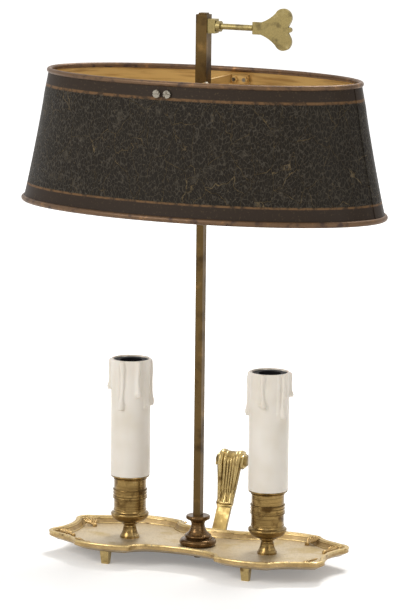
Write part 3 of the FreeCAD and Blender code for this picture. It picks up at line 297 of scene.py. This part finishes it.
def crackled_paint(top, bottom):
    """Old oil paint on tin: a crackled dark green field inside gold lines, smoother brown bands outside."""
    c = bpy.context.scene.lamp_colours
    s = bpy.context.scene.lamp_sizes
    material, tree, shader, place = new_material("crackled_shade_paint", Specular_IOR_Level=0.06)
    height = node(tree, "SeparateXYZ", {0: place}, out="Z")
    wander = node(tree, "TexNoise", {"Vector": place, "Scale": 1 / (12 * MM), "Detail": 3.0}, out="Color")
    shift = node(tree, "VectorMath", {0: wander, 1: (0.5, 0.5, 0.5)}, operation="SUBTRACT")
    shift = node(tree, "VectorMath", {0: shift, "Scale": 7 * MM}, operation="SCALE")
    loose = node(tree, "VectorMath", {0: place, 1: shift}, operation="ADD")
    tall = node(tree, "Mapping", {"Vector": loose, "Scale": (1, 1, 0.5)})
    nets = []
    for cell, width in ((s.crack_cell, 0.011), (s.pebble, 0.12)):
        edge = node(tree, "TexVoronoi", {"Vector": tall, "Scale": 1 / cell}, feature="DISTANCE_TO_EDGE")
        nets.append(node(tree, "MapRange", {0: edge, 1: 0.0, 2: width, 3: 1.0, 4: 0.0}))
    patch = node(tree, "TexNoise", {"Vector": place, "Scale": 1 / (14 * MM), "Detail": 5.0})
    stops = [(0.35, c.field), (0.62, c.field), (1.0, c.field_light)]
    field = node(tree, "ValToRGB", {0: patch}, stops=stops)
    gaps = node(tree, "TexNoise", {"Vector": place, "Scale": 1 / (9 * MM), "Detail": 3.0})
    broken = node(tree, "MapRange", {0: gaps, 1: 0.40, 2: 0.60, 3: 0.25, 4: 0.95})
    cracks = node(tree, "Math", {0: nets[0], 1: broken}, operation="MULTIPLY")
    field = node(tree, "Mix", {0: cracks, 6: field, 7: c.crack}, out=2, data_type="RGBA")
    pebbles = node(tree, "Math", {0: nets[1], 1: 0.36}, operation="MULTIPLY")
    field = node(tree, "Mix", {0: pebbles, 6: field, 7: c.field_light}, out=2, data_type="RGBA")
    upper = top - s.top_line
    lower = bottom + s.bottom_line
    above = node(tree, "MapRange", {0: height, 1: lower, 2: lower + 0.6 * MM})
    below = node(tree, "MapRange", {0: height, 1: upper - 0.6 * MM, 2: upper, 3: 1.0, 4: 0.0})
    inside = node(tree, "Math", {0: above, 1: below}, operation="MULTIPLY")
    tint = node(tree, "Mix", {0: inside, 6: c.band, 7: field}, out=2, data_type="RGBA")
    rub = node(tree, "TexNoise", {"Vector": place, "Scale": 1 / (4 * MM), "Detail": 5.0})
    rubbed = node(tree, "MapRange", {0: rub, 1: 0.36, 2: 0.54, 3: 0.2, 4: 1.0})
    for level, width in ((upper, s.line_width), (lower, s.line_width * 0.75)):
        offset = node(tree, "Math", {0: height, 1: level}, operation="SUBTRACT")
        away = node(tree, "Math", {0: offset}, operation="ABSOLUTE")
        line = node(tree, "MapRange", {0: away, 1: width * 0.3, 2: width * 0.6, 3: 1.0, 4: 0.0})
        kept = node(tree, "Math", {0: line, 1: rubbed}, operation="MULTIPLY")
        tint = node(tree, "Mix", {0: kept, 6: tint, 7: c.line}, out=2, data_type="RGBA")
    dust = node(tree, "TexNoise", {"Vector": place, "Scale": 1 / (1.2 * MM), "Detail": 2.0})
    specks = node(tree, "MapRange", {0: dust, 1: 0.62, 2: 0.72, 3: 0.0, 4: 0.3})
    tint = node(tree, "Mix", {0: specks, 6: tint, 7: c.crack}, out=2, data_type="RGBA")
    tree.links.new(tint, shader["Base Color"])
    relief = node(tree, "Math", {0: nets[1], 1: 0.6, 2: nets[0]}, operation="MULTIPLY_ADD")
    relief = node(tree, "Math", {0: relief, 1: inside}, operation="MULTIPLY")
    sunk = node(tree, "Math", {0: relief, 1: -1.0}, operation="MULTIPLY")
    tree.links.new(node(tree, "Bump", {"Height": sunk, "Distance": 0.5 * MM}), shader["Normal"])
    gloss = node(tree, "MapRange", {0: patch, 1: 0.3, 2: 0.7, 3: 0.36, 4: 0.48})
    tree.links.new(gloss, shader["Roughness"])
    return material


def gold_lining():
    """Gold bronze paint brushed inside the shade: dull, streaky and a little metallic."""
    c = bpy.context.scene.lamp_colours
    material, tree, shader, place = new_material("gold_paint_lining", Metallic=0.3, Roughness=0.5)
    flat = node(tree, "Mapping", {"Vector": place, "Scale": (1 / (30 * MM), 1 / (30 * MM), 1 / (2.5 * MM))})
    streak = node(tree, "TexNoise", {"Vector": flat, "Scale": 1.0, "Detail": 5.0})
    stops = [(0.34, c.lining_dark), (0.52, c.lining), (0.8, c.lining)]
    tint = node(tree, "ValToRGB", {0: streak}, stops=stops)
    tree.links.new(tint, shader["Base Color"])
    tree.links.new(node(tree, "Bump", {"Height": streak, "Distance": 0.06 * MM}), shader["Normal"])
    return material


def moulded_plastic(name, tint, roughness, grain):
    """Moulded plastic: even colour, faint mottling and a fine moulded grain."""
    material, tree, shader, place = new_material(name, Roughness=roughness, Specular_IOR_Level=0.12)
    cloud = node(tree, "TexNoise", {"Vector": place, "Scale": 1 / (grain * 8), "Detail": 4.0})
    pale = tuple(min(1.0, v * 1.25 + 0.004) for v in tint)
    mottle = node(tree, "ValToRGB", {0: cloud}, stops=[(0.35, tint), (0.7, pale)])
    tree.links.new(mottle, shader["Base Color"])
    fine = node(tree, "TexNoise", {"Vector": place, "Scale": 1 / grain, "Detail": 4.0})
    tree.links.new(node(tree, "Bump", {"Height": fine, "Distance": 0.02 * MM}), shader["Normal"])
    return material


def make_finishes():
    """Every finish of the lamp by name."""
    c = bpy.context.scene.lamp_colours
    s = bpy.context.scene.lamp_sizes
    low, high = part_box("shade_shell")
    return {
        "tray": gilt_tray_brass(),
        # Gilded beads and shells catch the light on their crowns and hold dark lacquer between them
        "rim": old_metal("gilt_rubbed_brass", (c.tray_dark, c.rim, c.tray_pale), 5 * MM, 0.30, 0.7),
        # The shells keep lacquer in their grooves
        "shells": old_metal("gilt_shell_brass", (c.tray_dark, c.tray_side, c.tray_pale), 2 * MM,
                            0.34, 0.6),
        # The fan of the handle and the feet are rubbed brighter than its strap; part of that difference is
        # painted shade on the strap
        "fan": old_metal("gilt_fan_brass", (c.tray_dark, c.handle_bright, c.rim), 5 * MM, 0.28, 0.85),
        # The handle is smoother and yellower than the tray, and its strap is coloured darker in part as
        # painted shade
        "handle": old_metal("gilt_handle_brass_shaded", (c.tray_dark, c.handle, c.handle_bright), 9 * MM,
                            0.42, 0.9),
        # Lathe-turned cups, lacquered brown; their ring marks are drawn coarse enough to show
        "cup": old_metal("turned_lacquered_brass", (c.cup_dark, c.cup, c.cup_bright), 8 * MM, 0.20, 0.9,
                         turned=s.brushing),
        # Drawn square rod, brown with rubbed golden streaks
        "rod": old_metal("drawn_brown_brass", (c.rod_dark, c.rod, c.rod_bright), 12 * MM, 0.38, 0.92),
        # The foot is darker, a bronze brown with bright rubbed rings
        "bronze": old_metal("turned_dark_bronze", (c.cup_dark, c.foot, c.rod_bright), 6 * MM, 0.24, 0.8,
                            turned=s.brushing),
        # Sawn sheet brass, greenish and matt
        "key": old_metal("sawn_yellow_brass", (c.key_dark, c.key, c.key_bright), 7 * MM, 0.36, 0.6),
        # Rolled edge in copper-brown paint, rubbed bright on its crown
        "bead": old_metal("worn_copper_edge", (c.bead_dark, c.bead, c.bead_bright), 6 * MM, 0.40, 0.45),
        # Zinc-plated steel: bright grey with a dull bloom
        "steel": old_metal("zinc_plated_steel", (c.key_dark, c.steel, c.solder), 5 * MM, 0.40, 0.85),
        # Nickel screw heads gone grey and brown in their slots
        "nickel": old_metal("tarnished_nickel", (c.rod_dark, c.steel, c.steel), 2 * MM, 0.40, 0.8),
        # Solder run into the joints, grey and dull
        "solder": old_metal("grey_solder", (c.steel, c.solder, c.solder), 3 * MM, 0.45, 0.5),
        "candle": candle_plastic(),
        "shade": crackled_paint(high.z, low.z),
        "lining": gold_lining(),
        # Pressed phenolic lampholders, near black and matt inside the tube
        "black": moulded_plastic("black_phenolic", c.black, 0.6, 0.8 * MM),
        # Extruded PVC sleeves, dark brown with a soft sheen
        "sleeving": moulded_plastic("pvc_sleeving", c.sleeving, 0.5, 0.8 * MM),
        # Moulded phenolic block, dark brown and even, kept this dark as painted shade so that it sinks into
        # the shadow under the tray
        "terminal": moulded_plastic("phenolic_terminal_dark_as_shade", c.terminal, 0.45, 0.8 * MM),
    }


FINISHES = {}


def finish(name):
    """The finish of that name; all of them are made on the first use."""
    if not FINISHES:
        FINISHES.update(make_finishes())
    return FINISHES[name]


def dress(material_name, *nodes):
    """Give CAD nodes a finish."""
    for name in nodes:
        piece = NODES[name]
        piece.data.materials.clear()
        piece.data.materials.append(finish(material_name))


# Modelling helpers
def start():
    """Nothing selected, in object mode."""
    if bpy.context.object and bpy.context.object.mode != "OBJECT":
        bpy.ops.object.mode_set(mode="OBJECT")
    bpy.ops.object.select_all(action="DESELECT")


def only(piece):
    """Select one object and make it active."""
    start()
    piece.select_set(True)
    bpy.context.view_layer.objects.active = piece
    return piece


def copy_of(node, name):
    """A merged copy of a CAD node's mesh."""
    piece = bpy.data.objects.new(name, NODES[node].data.copy())
    bpy.context.scene.collection.objects.link(piece)
    piece.data.materials.clear()
    only(piece)
    bpy.ops.object.mode_set(mode="EDIT")
    bpy.ops.mesh.select_all(action="SELECT")
    bpy.ops.mesh.remove_doubles(threshold=0.005 * MM)
    bpy.ops.mesh.select_all(action="DESELECT")
    bpy.ops.object.mode_set(mode="OBJECT")
    return piece


def settle(piece, name, material_name, body):
    """Name a finished piece, put its place in its mesh, shade it, finish it and let it ride."""
    only(piece)
    bpy.ops.object.transform_apply(location=True, rotation=True, scale=True)
    piece.name = name
    piece.data.name = name
    bpy.ops.object.shade_smooth_by_angle(angle=math.radians(38))
    if not piece.data.materials:
        piece.data.materials.append(finish(material_name))
    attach(piece, body)
    return piece


def joined(pieces):
    """Join several meshes into the first."""
    start()
    for piece in pieces:
        piece.select_set(True)
    bpy.context.view_layer.objects.active = pieces[0]
    bpy.ops.object.join()
    return bpy.context.view_layer.objects.active


def tube_along(points, radii, resolution=3):
    """A round tube through points, with its own radius at each, as a mesh with closed ends."""
    start()
    bpy.ops.curve.primitive_nurbs_path_add()
    curve = bpy.context.object
    curve.data.splines.clear()
    spline = curve.data.splines.new("NURBS")
    spline.points.add(len(points) - 1)
    for point, place, radius in zip(spline.points, points, radii):
        point.co = (*place, 1)
        point.radius = radius / MM
    spline.order_u = min(3, len(points))
    spline.use_endpoint_u = True
    curve.data.bevel_depth = 1 * MM
    curve.data.bevel_resolution = resolution
    curve.data.use_fill_caps = True
    curve.data.resolution_u = 6
    bpy.ops.object.convert(target="MESH")
    return bpy.context.object


MERGE_GAP = 0.25 * MM
LEAST_LOOP = 150 * MM


def section_bead(node, height, radius, outer):
    """A round bead along the loop where a level plane meets a CAD node; outer picks the wider loop."""
    piece = copy_of(node, "section")
    bpy.ops.object.mode_set(mode="EDIT")
    bpy.ops.mesh.select_all(action="SELECT")
    bpy.ops.mesh.bisect(plane_co=(0, 0, height), plane_no=(0, 0, 1), clear_inner=True, clear_outer=True)
    bpy.ops.mesh.select_all(action="SELECT")
    bpy.ops.mesh.remove_doubles(threshold=MERGE_GAP)
    bpy.ops.mesh.separate(type="LOOSE")
    bpy.ops.object.mode_set(mode="OBJECT")
    loops = sorted(bpy.context.selected_objects, key=lambda each: -each.dimensions.x)
    loops = [each for each in loops if each.dimensions.x > LEAST_LOOP]
    kept = loops[0] if outer else loops[-1]
    for each in list(bpy.context.selected_objects):
        if each is not kept:
            bpy.data.objects.remove(each)
    only(kept)
    bpy.ops.object.convert(target="CURVE")
    kept = bpy.context.object
    kept.data.bevel_depth = radius
    kept.data.bevel_resolution = 2
    bpy.ops.object.convert(target="MESH")
    return bpy.context.object


def flute(size, place, turn, rise=0.0):
    """One tapered flute of a shell: a drop that is narrow at its root and broad at its tip."""
    start()
    bpy.ops.mesh.primitive_uv_sphere_add(segments=12, ring_count=8, radius=1)
    drop = bpy.context.object
    for vertex in drop.data.vertices:
        taper = 0.55 + 0.45 * vertex.co.x
        vertex.co.y *= taper
        vertex.co.z *= 0.7 + 0.3 * vertex.co.x
    move = Matrix.Translation(place) @ Matrix.Rotation(turn, 4, "Z") @ Matrix.Rotation(-rise, 4, "Y")
    drop.data.transform(move @ Matrix.Diagonal((*size, 1)))
    return drop


def shell(place, turn, reach, count, spread, rise):
    """A fan of flutes about a root point, like a scallop shell."""
    pieces = []
    for index in range(count):
        share = index / (count - 1) * 2 - 1
        angle = turn + share * spread
        long = reach * (1 - SHELL_FALL * share * share)
        width = reach * math.sin(spread / (count - 1)) * FLUTE_WIDTH
        middle = Vector(place) + Vector((math.cos(angle) * math.cos(rise), math.sin(angle) * math.cos(rise),
                                         math.sin(rise))) * long * FLUTE_MIDDLE
        pieces.append(flute((long * FLUTE_HALF, width, width * FLUTE_HEIGHT), middle, angle, rise))
    start()
    bpy.ops.mesh.primitive_uv_sphere_add(segments=12, ring_count=8, radius=reach * SHELL_BOSS,
                                         location=place)
    pieces.append(bpy.context.object)
    return joined(pieces)


# Pieces
class LampOperator(bpy.types.Operator):
    """Base of the lamp's operators."""
    bl_options = {"REGISTER", "UNDO"}


class LAMP_OT_tray(LampOperator):
    """Finish the tray and add its beads and shells"""
    bl_idname = "lamp.tray"
    bl_label = "Tray"
    spread = 50

    def execute(self, context):
        s = context.scene.lamp_sizes
        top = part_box("tray")[1].z
        dress("tray", "tray")
        for name, level, radius, outer in (("tray_edge_bead", top - 0.5 * MM, s.outer_bead, True),
                                           ("tray_floor_bead", 11.3 * MM, s.inner_bead, False),
                                           ("tray_cove_bead", top - 1.2 * MM, s.inner_bead, False)):
            settle(section_bead("tray", level, radius, outer), name, "rim", "base")
        pieces = []
        for x in (-1, 1):
            for y in (-1, 1):
                for place, slant, reach, rise in SHELLS:
                    root = (x * place[0] * MM, y * place[1] * MM, place[2] * MM)
                    pieces.append(shell(root, math.atan2(y * slant, x), getattr(s, reach), s.shell_flutes,
                                        math.radians(self.spread), math.radians(rise)))
        settle(joined(pieces), "tray_shells", "shells", "base")
        return {"FINISHED"}


class LAMP_OT_feet(LampOperator):
    """Finish the four feet"""
    bl_idname = "lamp.feet"
    bl_label = "Feet"

    def execute(self, context):
        dress("fan", *[name for name in NODES if name.startswith("foot_")])
        return {"FINISHED"}


class LAMP_OT_handle(LampOperator):
    """Finish the handle and carve its flutes, collar and scroll"""
    bl_idname = "lamp.handle"
    bl_label = "Handle"
    press_from, press_span = 50, 12
    crest_drop, valley_depth, valley_x, valley_spread = 1.6, 1.3, -0.5, 6
    collar_radius = 1.5
    leaf_radii = (1.6, 1.5, 0.3)
    scroll_x, scroll_y, scroll_z = 9.0, 55.6, 58.4
    scroll_steps, scroll_turn, scroll_start = 15, 40, 200
    scroll_radius, scroll_closing = 6.0, 0.36
    wire_radius, wire_taper = 1.15, 0.03

    def execute(self, context):
        dress("handle", "handle_rivets")
        self.skin()
        for name, pieces in (("handle_flutes", self.ribs()), ("handle_collar", self.collar()),
                             ("handle_scrolls", self.scrolls())):
            settle(joined(pieces), name, "fan", "base")
        return {"FINISHED"}

    def skin(self):
        """A copy of the handle whose crest is pressed lower, with a valley between two lobes."""
        skin = copy_of("handle", "skin")
        for vertex in skin.data.vertices:
            share = min(1.0, max(0.0, (vertex.co.z / MM - self.press_from) / self.press_span))
            valley = math.exp(-(vertex.co.x / MM - self.valley_x) ** 2 / self.valley_spread)
            vertex.co.z -= (self.crest_drop + self.valley_depth * valley) * share * MM
        settle(skin, "handle_skin", "handle", "base")
        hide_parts("handle")

    def ribs(self):
        """The ribs of the fan, which widen from the collar and roll over the crest."""
        ribs = []
        for bottom_x, top_x, low_radius, top_radius, lift in HANDLE_RIBS:
            points, radii = [], []
            for share, y, z in RIB_PATH:
                points.append(Vector((bottom_x + (top_x - bottom_x) * share, y,
                                      z + lift * (z > CREST_HEIGHT))) * MM)
                radii.append((low_radius + (top_radius - low_radius) * share ** 2) * MM)
            ribs.append(tube_along(points, radii))
        return ribs

    def collar(self):
        """The ring under the fan with three leaf tips rising from it."""
        ring = ((-5.6, 43.6, 31.6), (0, 42.7, 31.2), (5.6, 43.6, 31.6))
        pieces = [tube_along([Vector(place) * MM for place in ring], [self.collar_radius * MM] * 3)]
        for x in (-4.2, 0.0, 4.2):
            leaf = ((x, 42.9, 31.5), (x, 43.9, 34.0), (x * 0.9, 45.0, 38.5))
            pieces.append(tube_along([Vector(place) * MM for place in leaf],
                                     [radius * MM for radius in self.leaf_radii]))
        return pieces

    def scrolls(self):
        """The wires that curl inwards at both sides of the crest."""
        wires = []
        for side in (-1, 1):
            points, radii = [], []
            for step in range(self.scroll_steps):
                angle = math.radians(self.scroll_start - step * self.scroll_turn)
                radius = self.scroll_radius - step * self.scroll_closing
                points.append(Vector((side * self.scroll_x, self.scroll_y + radius * math.cos(angle),
                                      self.scroll_z + radius * math.sin(angle))) * MM)
                radii.append((self.wire_radius - step * self.wire_taper) * MM)
            wires.append(tube_along(points, radii, 2))
        return wires


class LAMP_OT_rod(LampOperator):
    """Finish the rod, its turned foot and its fixings"""
    bl_idname = "lamp.rod"
    bl_label = "Rod"

    def execute(self, context):
        dress("rod", "rod")
        dress("bronze", "rod_foot")
        dress("steel", "rod_washer", "rod_nut")
        return {"FINISHED"}


class LAMP_OT_holders(LampOperator):
    """Finish the stems, cups and the parts that tie them to the tray"""
    bl_idname = "lamp.holders"
    bl_label = "Candle Cups"

    def execute(self, context):
        for side, _ in SIDES:
            dress("cup", side + "_stem", side + "_cup")
            low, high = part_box(side + "_cup")
            centre = ((low.x + high.x) / 2, 0)
            rings = []
            for drop, radius, thickness in CUP_RINGS:
                start()
                bpy.ops.mesh.primitive_torus_add(
                    major_segments=72, minor_segments=10, major_radius=radius * MM,
                    minor_radius=thickness * MM, location=(*centre, high.z - drop * MM))
                rings.append(bpy.context.object)
            settle(joined(rings), side + "_cup_rings", "cup", "base")
            fixings = ("_nipple", "_washer", "_lower_nut", "_cup_nut", "_bracket")
            dress("steel", *[side + part for part in fixings])
        return {"FINISHED"}


class LAMP_OT_candles(LampOperator):
    """Soften the candle tubes into wax and finish the lampholders inside them"""
    bl_idname = "lamp.candles"
    bl_label = "Candles"

    def execute(self, context):
        s = context.scene.lamp_sizes
        for side, _ in SIDES:
            tube = side + "_candle_tube"
            wax = joined([copy_of(tube, "wax")] + self.drips(side))
            remesh = wax.modifiers.new("Wax", "REMESH")
            remesh.mode = "VOXEL"
            remesh.voxel_size = s.wax_voxel
            bpy.ops.object.modifier_apply(modifier="Wax")
            smooth = wax.modifiers.new("Smooth", "SMOOTH")
            smooth.iterations = 2
            bpy.ops.object.modifier_apply(modifier="Smooth")
            thin = wax.modifiers.new("Thin", "DECIMATE")
            thin.ratio = 0.35
            bpy.ops.object.modifier_apply(modifier="Thin")
            settle(wax, side + "_candle_wax", "candle", "base")
            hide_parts(tube)
            dress("black", side + "_lampholder")
            dress("steel", side + "_screw_shell", side + "_centre_contact")
        return {"FINISHED"}

    def drips(self, side):
        """The runs of wax down one candle, each swelling to a drop at its end."""
        low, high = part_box(side + "_candle_tube")
        axis = (low.x + high.x) / 2
        runs = []
        for bearing, drop in DRIPS[side]:
            points, radii = [], []
            for share, stand, radius in DRIP_STAGES:
                turn = math.radians(bearing + 2.5 * math.sin(share * 5 + bearing))
                points.append(Vector((axis + stand * MM * math.cos(turn), stand * MM * math.sin(turn),
                                      high.z - 0.8 * MM - drop * share * MM)))
                radii.append(radius * MM)
            runs.append(tube_along(points, radii))
        return runs


class LAMP_OT_wiring(LampOperator):
    """Finish the leads, the terminal block and the cord grip under the tray"""
    bl_idname = "lamp.wiring"
    bl_label = "Wiring"

    def execute(self, context):
        dress("sleeving", "left_lead", "right_lead")
        # The block's dark finish is partly painted shade under the tray
        dress("terminal", "terminal_block")
        dress("steel", "terminal_screws")
        dress("black", "cord_grip")
        return {"FINISHED"}


class LAMP_OT_shade(LampOperator):
    """Raise the oval shade with its seam and flare, painted outside and gilded inside"""
    bl_idname = "lamp.shade"
    bl_label = "Shade"
    top_half_widths = (112.0, 54.3)
    rows = 22
    lap_bearings = (-7, 1)

    def execute(self, context):
        s = context.scene.lamp_sizes
        low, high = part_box("shade_shell")
        top_x, top_y = (half * MM for half in self.top_half_widths)
        bottom_x, bottom_y = high.x, high.y
        start()
        bpy.ops.mesh.primitive_circle_add(vertices=256, radius=1, location=(0, 0, low.z))
        wall = bpy.context.object
        bpy.ops.object.mode_set(mode="EDIT")
        bpy.ops.mesh.select_all(action="SELECT")
        bpy.ops.transform.resize(value=(bottom_x, bottom_y, 1), center_override=(0, 0, low.z))
        rows = self.rows
        before = (bottom_x, bottom_y)
        for row in range(1, rows + 1):
            share = row / rows
            pinch = s.flare * math.sin(math.pi * min(1.0, share * 1.25)) ** 0.5 if share < 0.8 else 0.0
            now = (bottom_x + (top_x - bottom_x) * share - pinch,
                   bottom_y + (top_y - bottom_y) * share - pinch)
            level = low.z + (high.z - low.z) * share
            bpy.ops.mesh.extrude_edges_move(
                TRANSFORM_OT_translate={"value": (0, 0, (high.z - low.z) / rows)})
            bpy.ops.transform.resize(value=(now[0] / before[0], now[1] / before[1], 1),
                                     center_override=(0, 0, level))
            before = now
        bpy.ops.mesh.select_all(action="SELECT")
        bpy.ops.mesh.normals_make_consistent(inside=False)
        bpy.ops.mesh.select_all(action="DESELECT")
        bpy.ops.object.mode_set(mode="OBJECT")
        for face in wall.data.polygons:
            bearing = math.degrees(math.atan2(face.center.y / bottom_y, face.center.x / bottom_x))
            face.select = self.lap_bearings[0] < bearing < self.lap_bearings[1]
        bpy.ops.object.mode_set(mode="EDIT")
        bpy.ops.mesh.extrude_region_shrink_fatten(TRANSFORM_OT_shrink_fatten={"value": s.lap_height})
        bpy.ops.object.mode_set(mode="OBJECT")
        sheet = wall.modifiers.new("Sheet", "SOLIDIFY")
        sheet.thickness = 0.8 * MM
        sheet.offset = -1
        sheet.material_offset = 1
        sheet.material_offset_rim = 0
        wall.data.materials.append(finish("shade"))
        wall.data.materials.append(finish("lining"))
        bpy.ops.object.modifier_apply(modifier="Sheet")
        settle(wall, "shade_wall", "shade", "shade")
        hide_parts("shade_shell")
        dress("bead", "shade_top_bead", "shade_bottom_bead")
        return {"FINISHED"}


class LAMP_OT_carrier(LampOperator):
    """Finish the sleeve, arms and screws that carry the shade, and add the solder"""
    bl_idname = "lamp.carrier"
    bl_label = "Shade Carrier"

    def execute(self, context):
        dress("rod", "sleeve")
        dress("lining", "shade_arm_front", "shade_arm_rear", "shade_nuts")
        dress("nickel", "shade_screws")
        blobs = []
        for place, size in SOLDER:
            start()
            bpy.ops.mesh.primitive_ico_sphere_add(subdivisions=3, radius=1)
            blob = bpy.context.object
            stretch = Matrix.Diagonal((*(Vector(size) * MM), 1))
            blob.data.transform(Matrix.Translation(Vector(place) * MM) @ stretch)
            blobs.append(blob)
        settle(joined(blobs), "solder_fillets", "solder", "shade")
        return {"FINISHED"}


class LAMP_OT_key(LampOperator):
    """Finish the clamp key and its boss"""
    bl_idname = "lamp.key"
    bl_label = "Clamp Key"

    def execute(self, context):
        dress("key", "key_boss", "key_stem", "key_collar", "key_bow")
        return {"FINISHED"}


class LAMP_OT_stage(LampOperator):
    """Set the pale floor, the soft lamps, the white background and the camera"""
    bl_idname = "lamp.stage"
    bl_label = "Stage"
    near_glow = 0.22
    ambient = 0.40
    azimuth, pitch, roll = 24.70, 9.748, 0.661
    distance, focal_pixels = 2430.9, 3612.6
    target_height, target_shift = 176.6, 0.655

    def execute(self, context):
        scene = context.scene
        start()
        bpy.ops.mesh.primitive_plane_add(size=12, location=(0, 0, 0))
        floor = bpy.context.object
        floor.name = "studio_floor"
        floor.data.materials.append(self.floor_material())
        self.background(scene)
        for name, place, size, power, aim in (
                ("key_lamp", (-0.9, -1.6, 1.3), 0.9, 20, (0, 0, 0.18)),
                ("fill_lamp", (1.8, -1.1, 0.8), 0.9, 6, (0, 0, 0.16)),
                ("top_lamp", (0.1, 0.75, 1.7), 0.6, 22, (0, 0, 0.02))):
            bpy.ops.object.light_add(type="AREA", location=place)
            lamp = bpy.context.object
            lamp.name = name
            lamp.data.size = size
            lamp.data.energy = power
            lamp.rotation_euler = (Vector(place) - Vector(aim)).to_track_quat("Z", "Y").to_euler()
        self.camera(scene)
        return {"FINISHED"}

    def shown(self, tree):
        """One for rays that the eye, a reflection or a clear surface sends, and none for light."""
        rays = node(tree, "LightPath").node.outputs
        either = node(tree, "Math", {0: rays["Is Camera Ray"], 1: rays["Is Glossy Ray"]},
                      operation="MAXIMUM")
        return node(tree, "Math", {0: either, 1: rays["Is Transmission Ray"]}, operation="MAXIMUM")

    def floor_material(self):
        """A white floor that keeps the lamp's soft shadow and fades to white further off."""
        material = bpy.data.materials.new("pale_studio_floor")
        material.use_nodes = True
        tree = material.node_tree
        tree.nodes.clear()
        place = node(tree, "TexCoord", out="Object")
        away = node(tree, "VectorMath", {0: place}, out="Value", operation="LENGTH")
        glow = node(tree, "MapRange", {0: away, 1: 0.15, 2: 1.6, 3: self.near_glow, 4: 0.75})
        glow = node(tree, "Math", {0: glow, 1: self.shown(tree)}, operation="MULTIPLY")
        matt = node(tree, "BsdfDiffuse", {"Color": bpy.context.scene.lamp_colours.floor})
        light = node(tree, "Emission", {"Color": (1, 1, 1), "Strength": glow})
        node(tree, "OutputMaterial", {"Surface": node(tree, "AddShader", {0: matt, 1: light})})
        return material

    def background(self, scene):
        """White to the eye and in reflections, a plain soft level as light."""
        world = bpy.data.worlds.new("studio")
        scene.world = world
        world.use_nodes = True
        tree = world.node_tree
        tree.nodes.clear()
        light = node(tree, "Background", {"Color": (1, 1, 1), "Strength": self.ambient})
        white = node(tree, "Background", {"Color": (1, 1, 1), "Strength": 1.0})
        mixed = node(tree, "MixShader", {0: self.shown(tree), 1: light, 2: white})
        node(tree, "OutputWorld", {"Surface": mixed})

    def camera(self, scene):
        """The photographer's place: a long lens from the right, a little above."""
        azimuth, pitch, roll = (math.radians(angle) for angle in (self.azimuth, self.pitch, self.roll))
        back = Vector((math.sin(azimuth) * math.cos(pitch),
                       -math.cos(azimuth) * math.cos(pitch), math.sin(pitch)))
        level = Vector((math.cos(azimuth), math.sin(azimuth), 0))
        rise = back.cross(level)
        right = math.cos(roll) * level + math.sin(roll) * rise
        up = -math.sin(roll) * level + math.cos(roll) * rise
        target = Vector((0, 0, self.target_height * MM)) + level * self.target_shift * MM
        bpy.ops.object.camera_add()
        camera = bpy.context.object
        camera.name = "photo_camera"
        turn = Matrix((right, up, back)).transposed().to_4x4()
        camera.matrix_world = Matrix.Translation(target + back * self.distance * MM) @ turn
        camera.data.sensor_width = SENSOR
        camera.data.lens = self.focal_pixels * SENSOR / IMAGE_HEIGHT
        camera.data.clip_end = 50
        scene.camera = camera
        scene.view_settings.view_transform = "Standard"


class LAMP_PT_panel(bpy.types.Panel):
    """The lamp's pieces in order"""
    bl_idname = "LAMP_PT_panel"
    bl_label = "Bouillotte Lamp"
    bl_space_type = "VIEW_3D"
    bl_region_type = "UI"
    bl_category = "Lamp"

    def draw(self, context):
        for operator in PIECES:
            self.layout.operator(operator.bl_idname)
        for group in (context.scene.lamp_sizes, context.scene.lamp_colours):
            box = self.layout.box()
            for name in group.__annotations__:
                box.prop(group, name)


PIECES = (LAMP_OT_stage, LAMP_OT_tray, LAMP_OT_feet, LAMP_OT_handle, LAMP_OT_rod, LAMP_OT_holders,
          LAMP_OT_candles, LAMP_OT_wiring, LAMP_OT_shade, LAMP_OT_carrier, LAMP_OT_key)
CLASSES = (LampColours, LampSizes) + PIECES + (LAMP_PT_panel,)


def register():
    """Add the classes and the settings that they read."""
    for each in CLASSES:
        bpy.utils.register_class(each)
    bpy.types.Scene.lamp_colours = PointerProperty(type=LampColours)
    bpy.types.Scene.lamp_sizes = PointerProperty(type=LampSizes)


def unregister():
    """Take the settings and the classes away again."""
    del bpy.types.Scene.lamp_sizes
    del bpy.types.Scene.lamp_colours
    for each in reversed(CLASSES):
        bpy.utils.unregister_class(each)


def main():
    """Build every piece in order."""
    register()
    for operator in PIECES:
        area, name = operator.bl_idname.split(".")
        getattr(getattr(bpy.ops, area), name)()


if __name__ == "__main__":
    main()
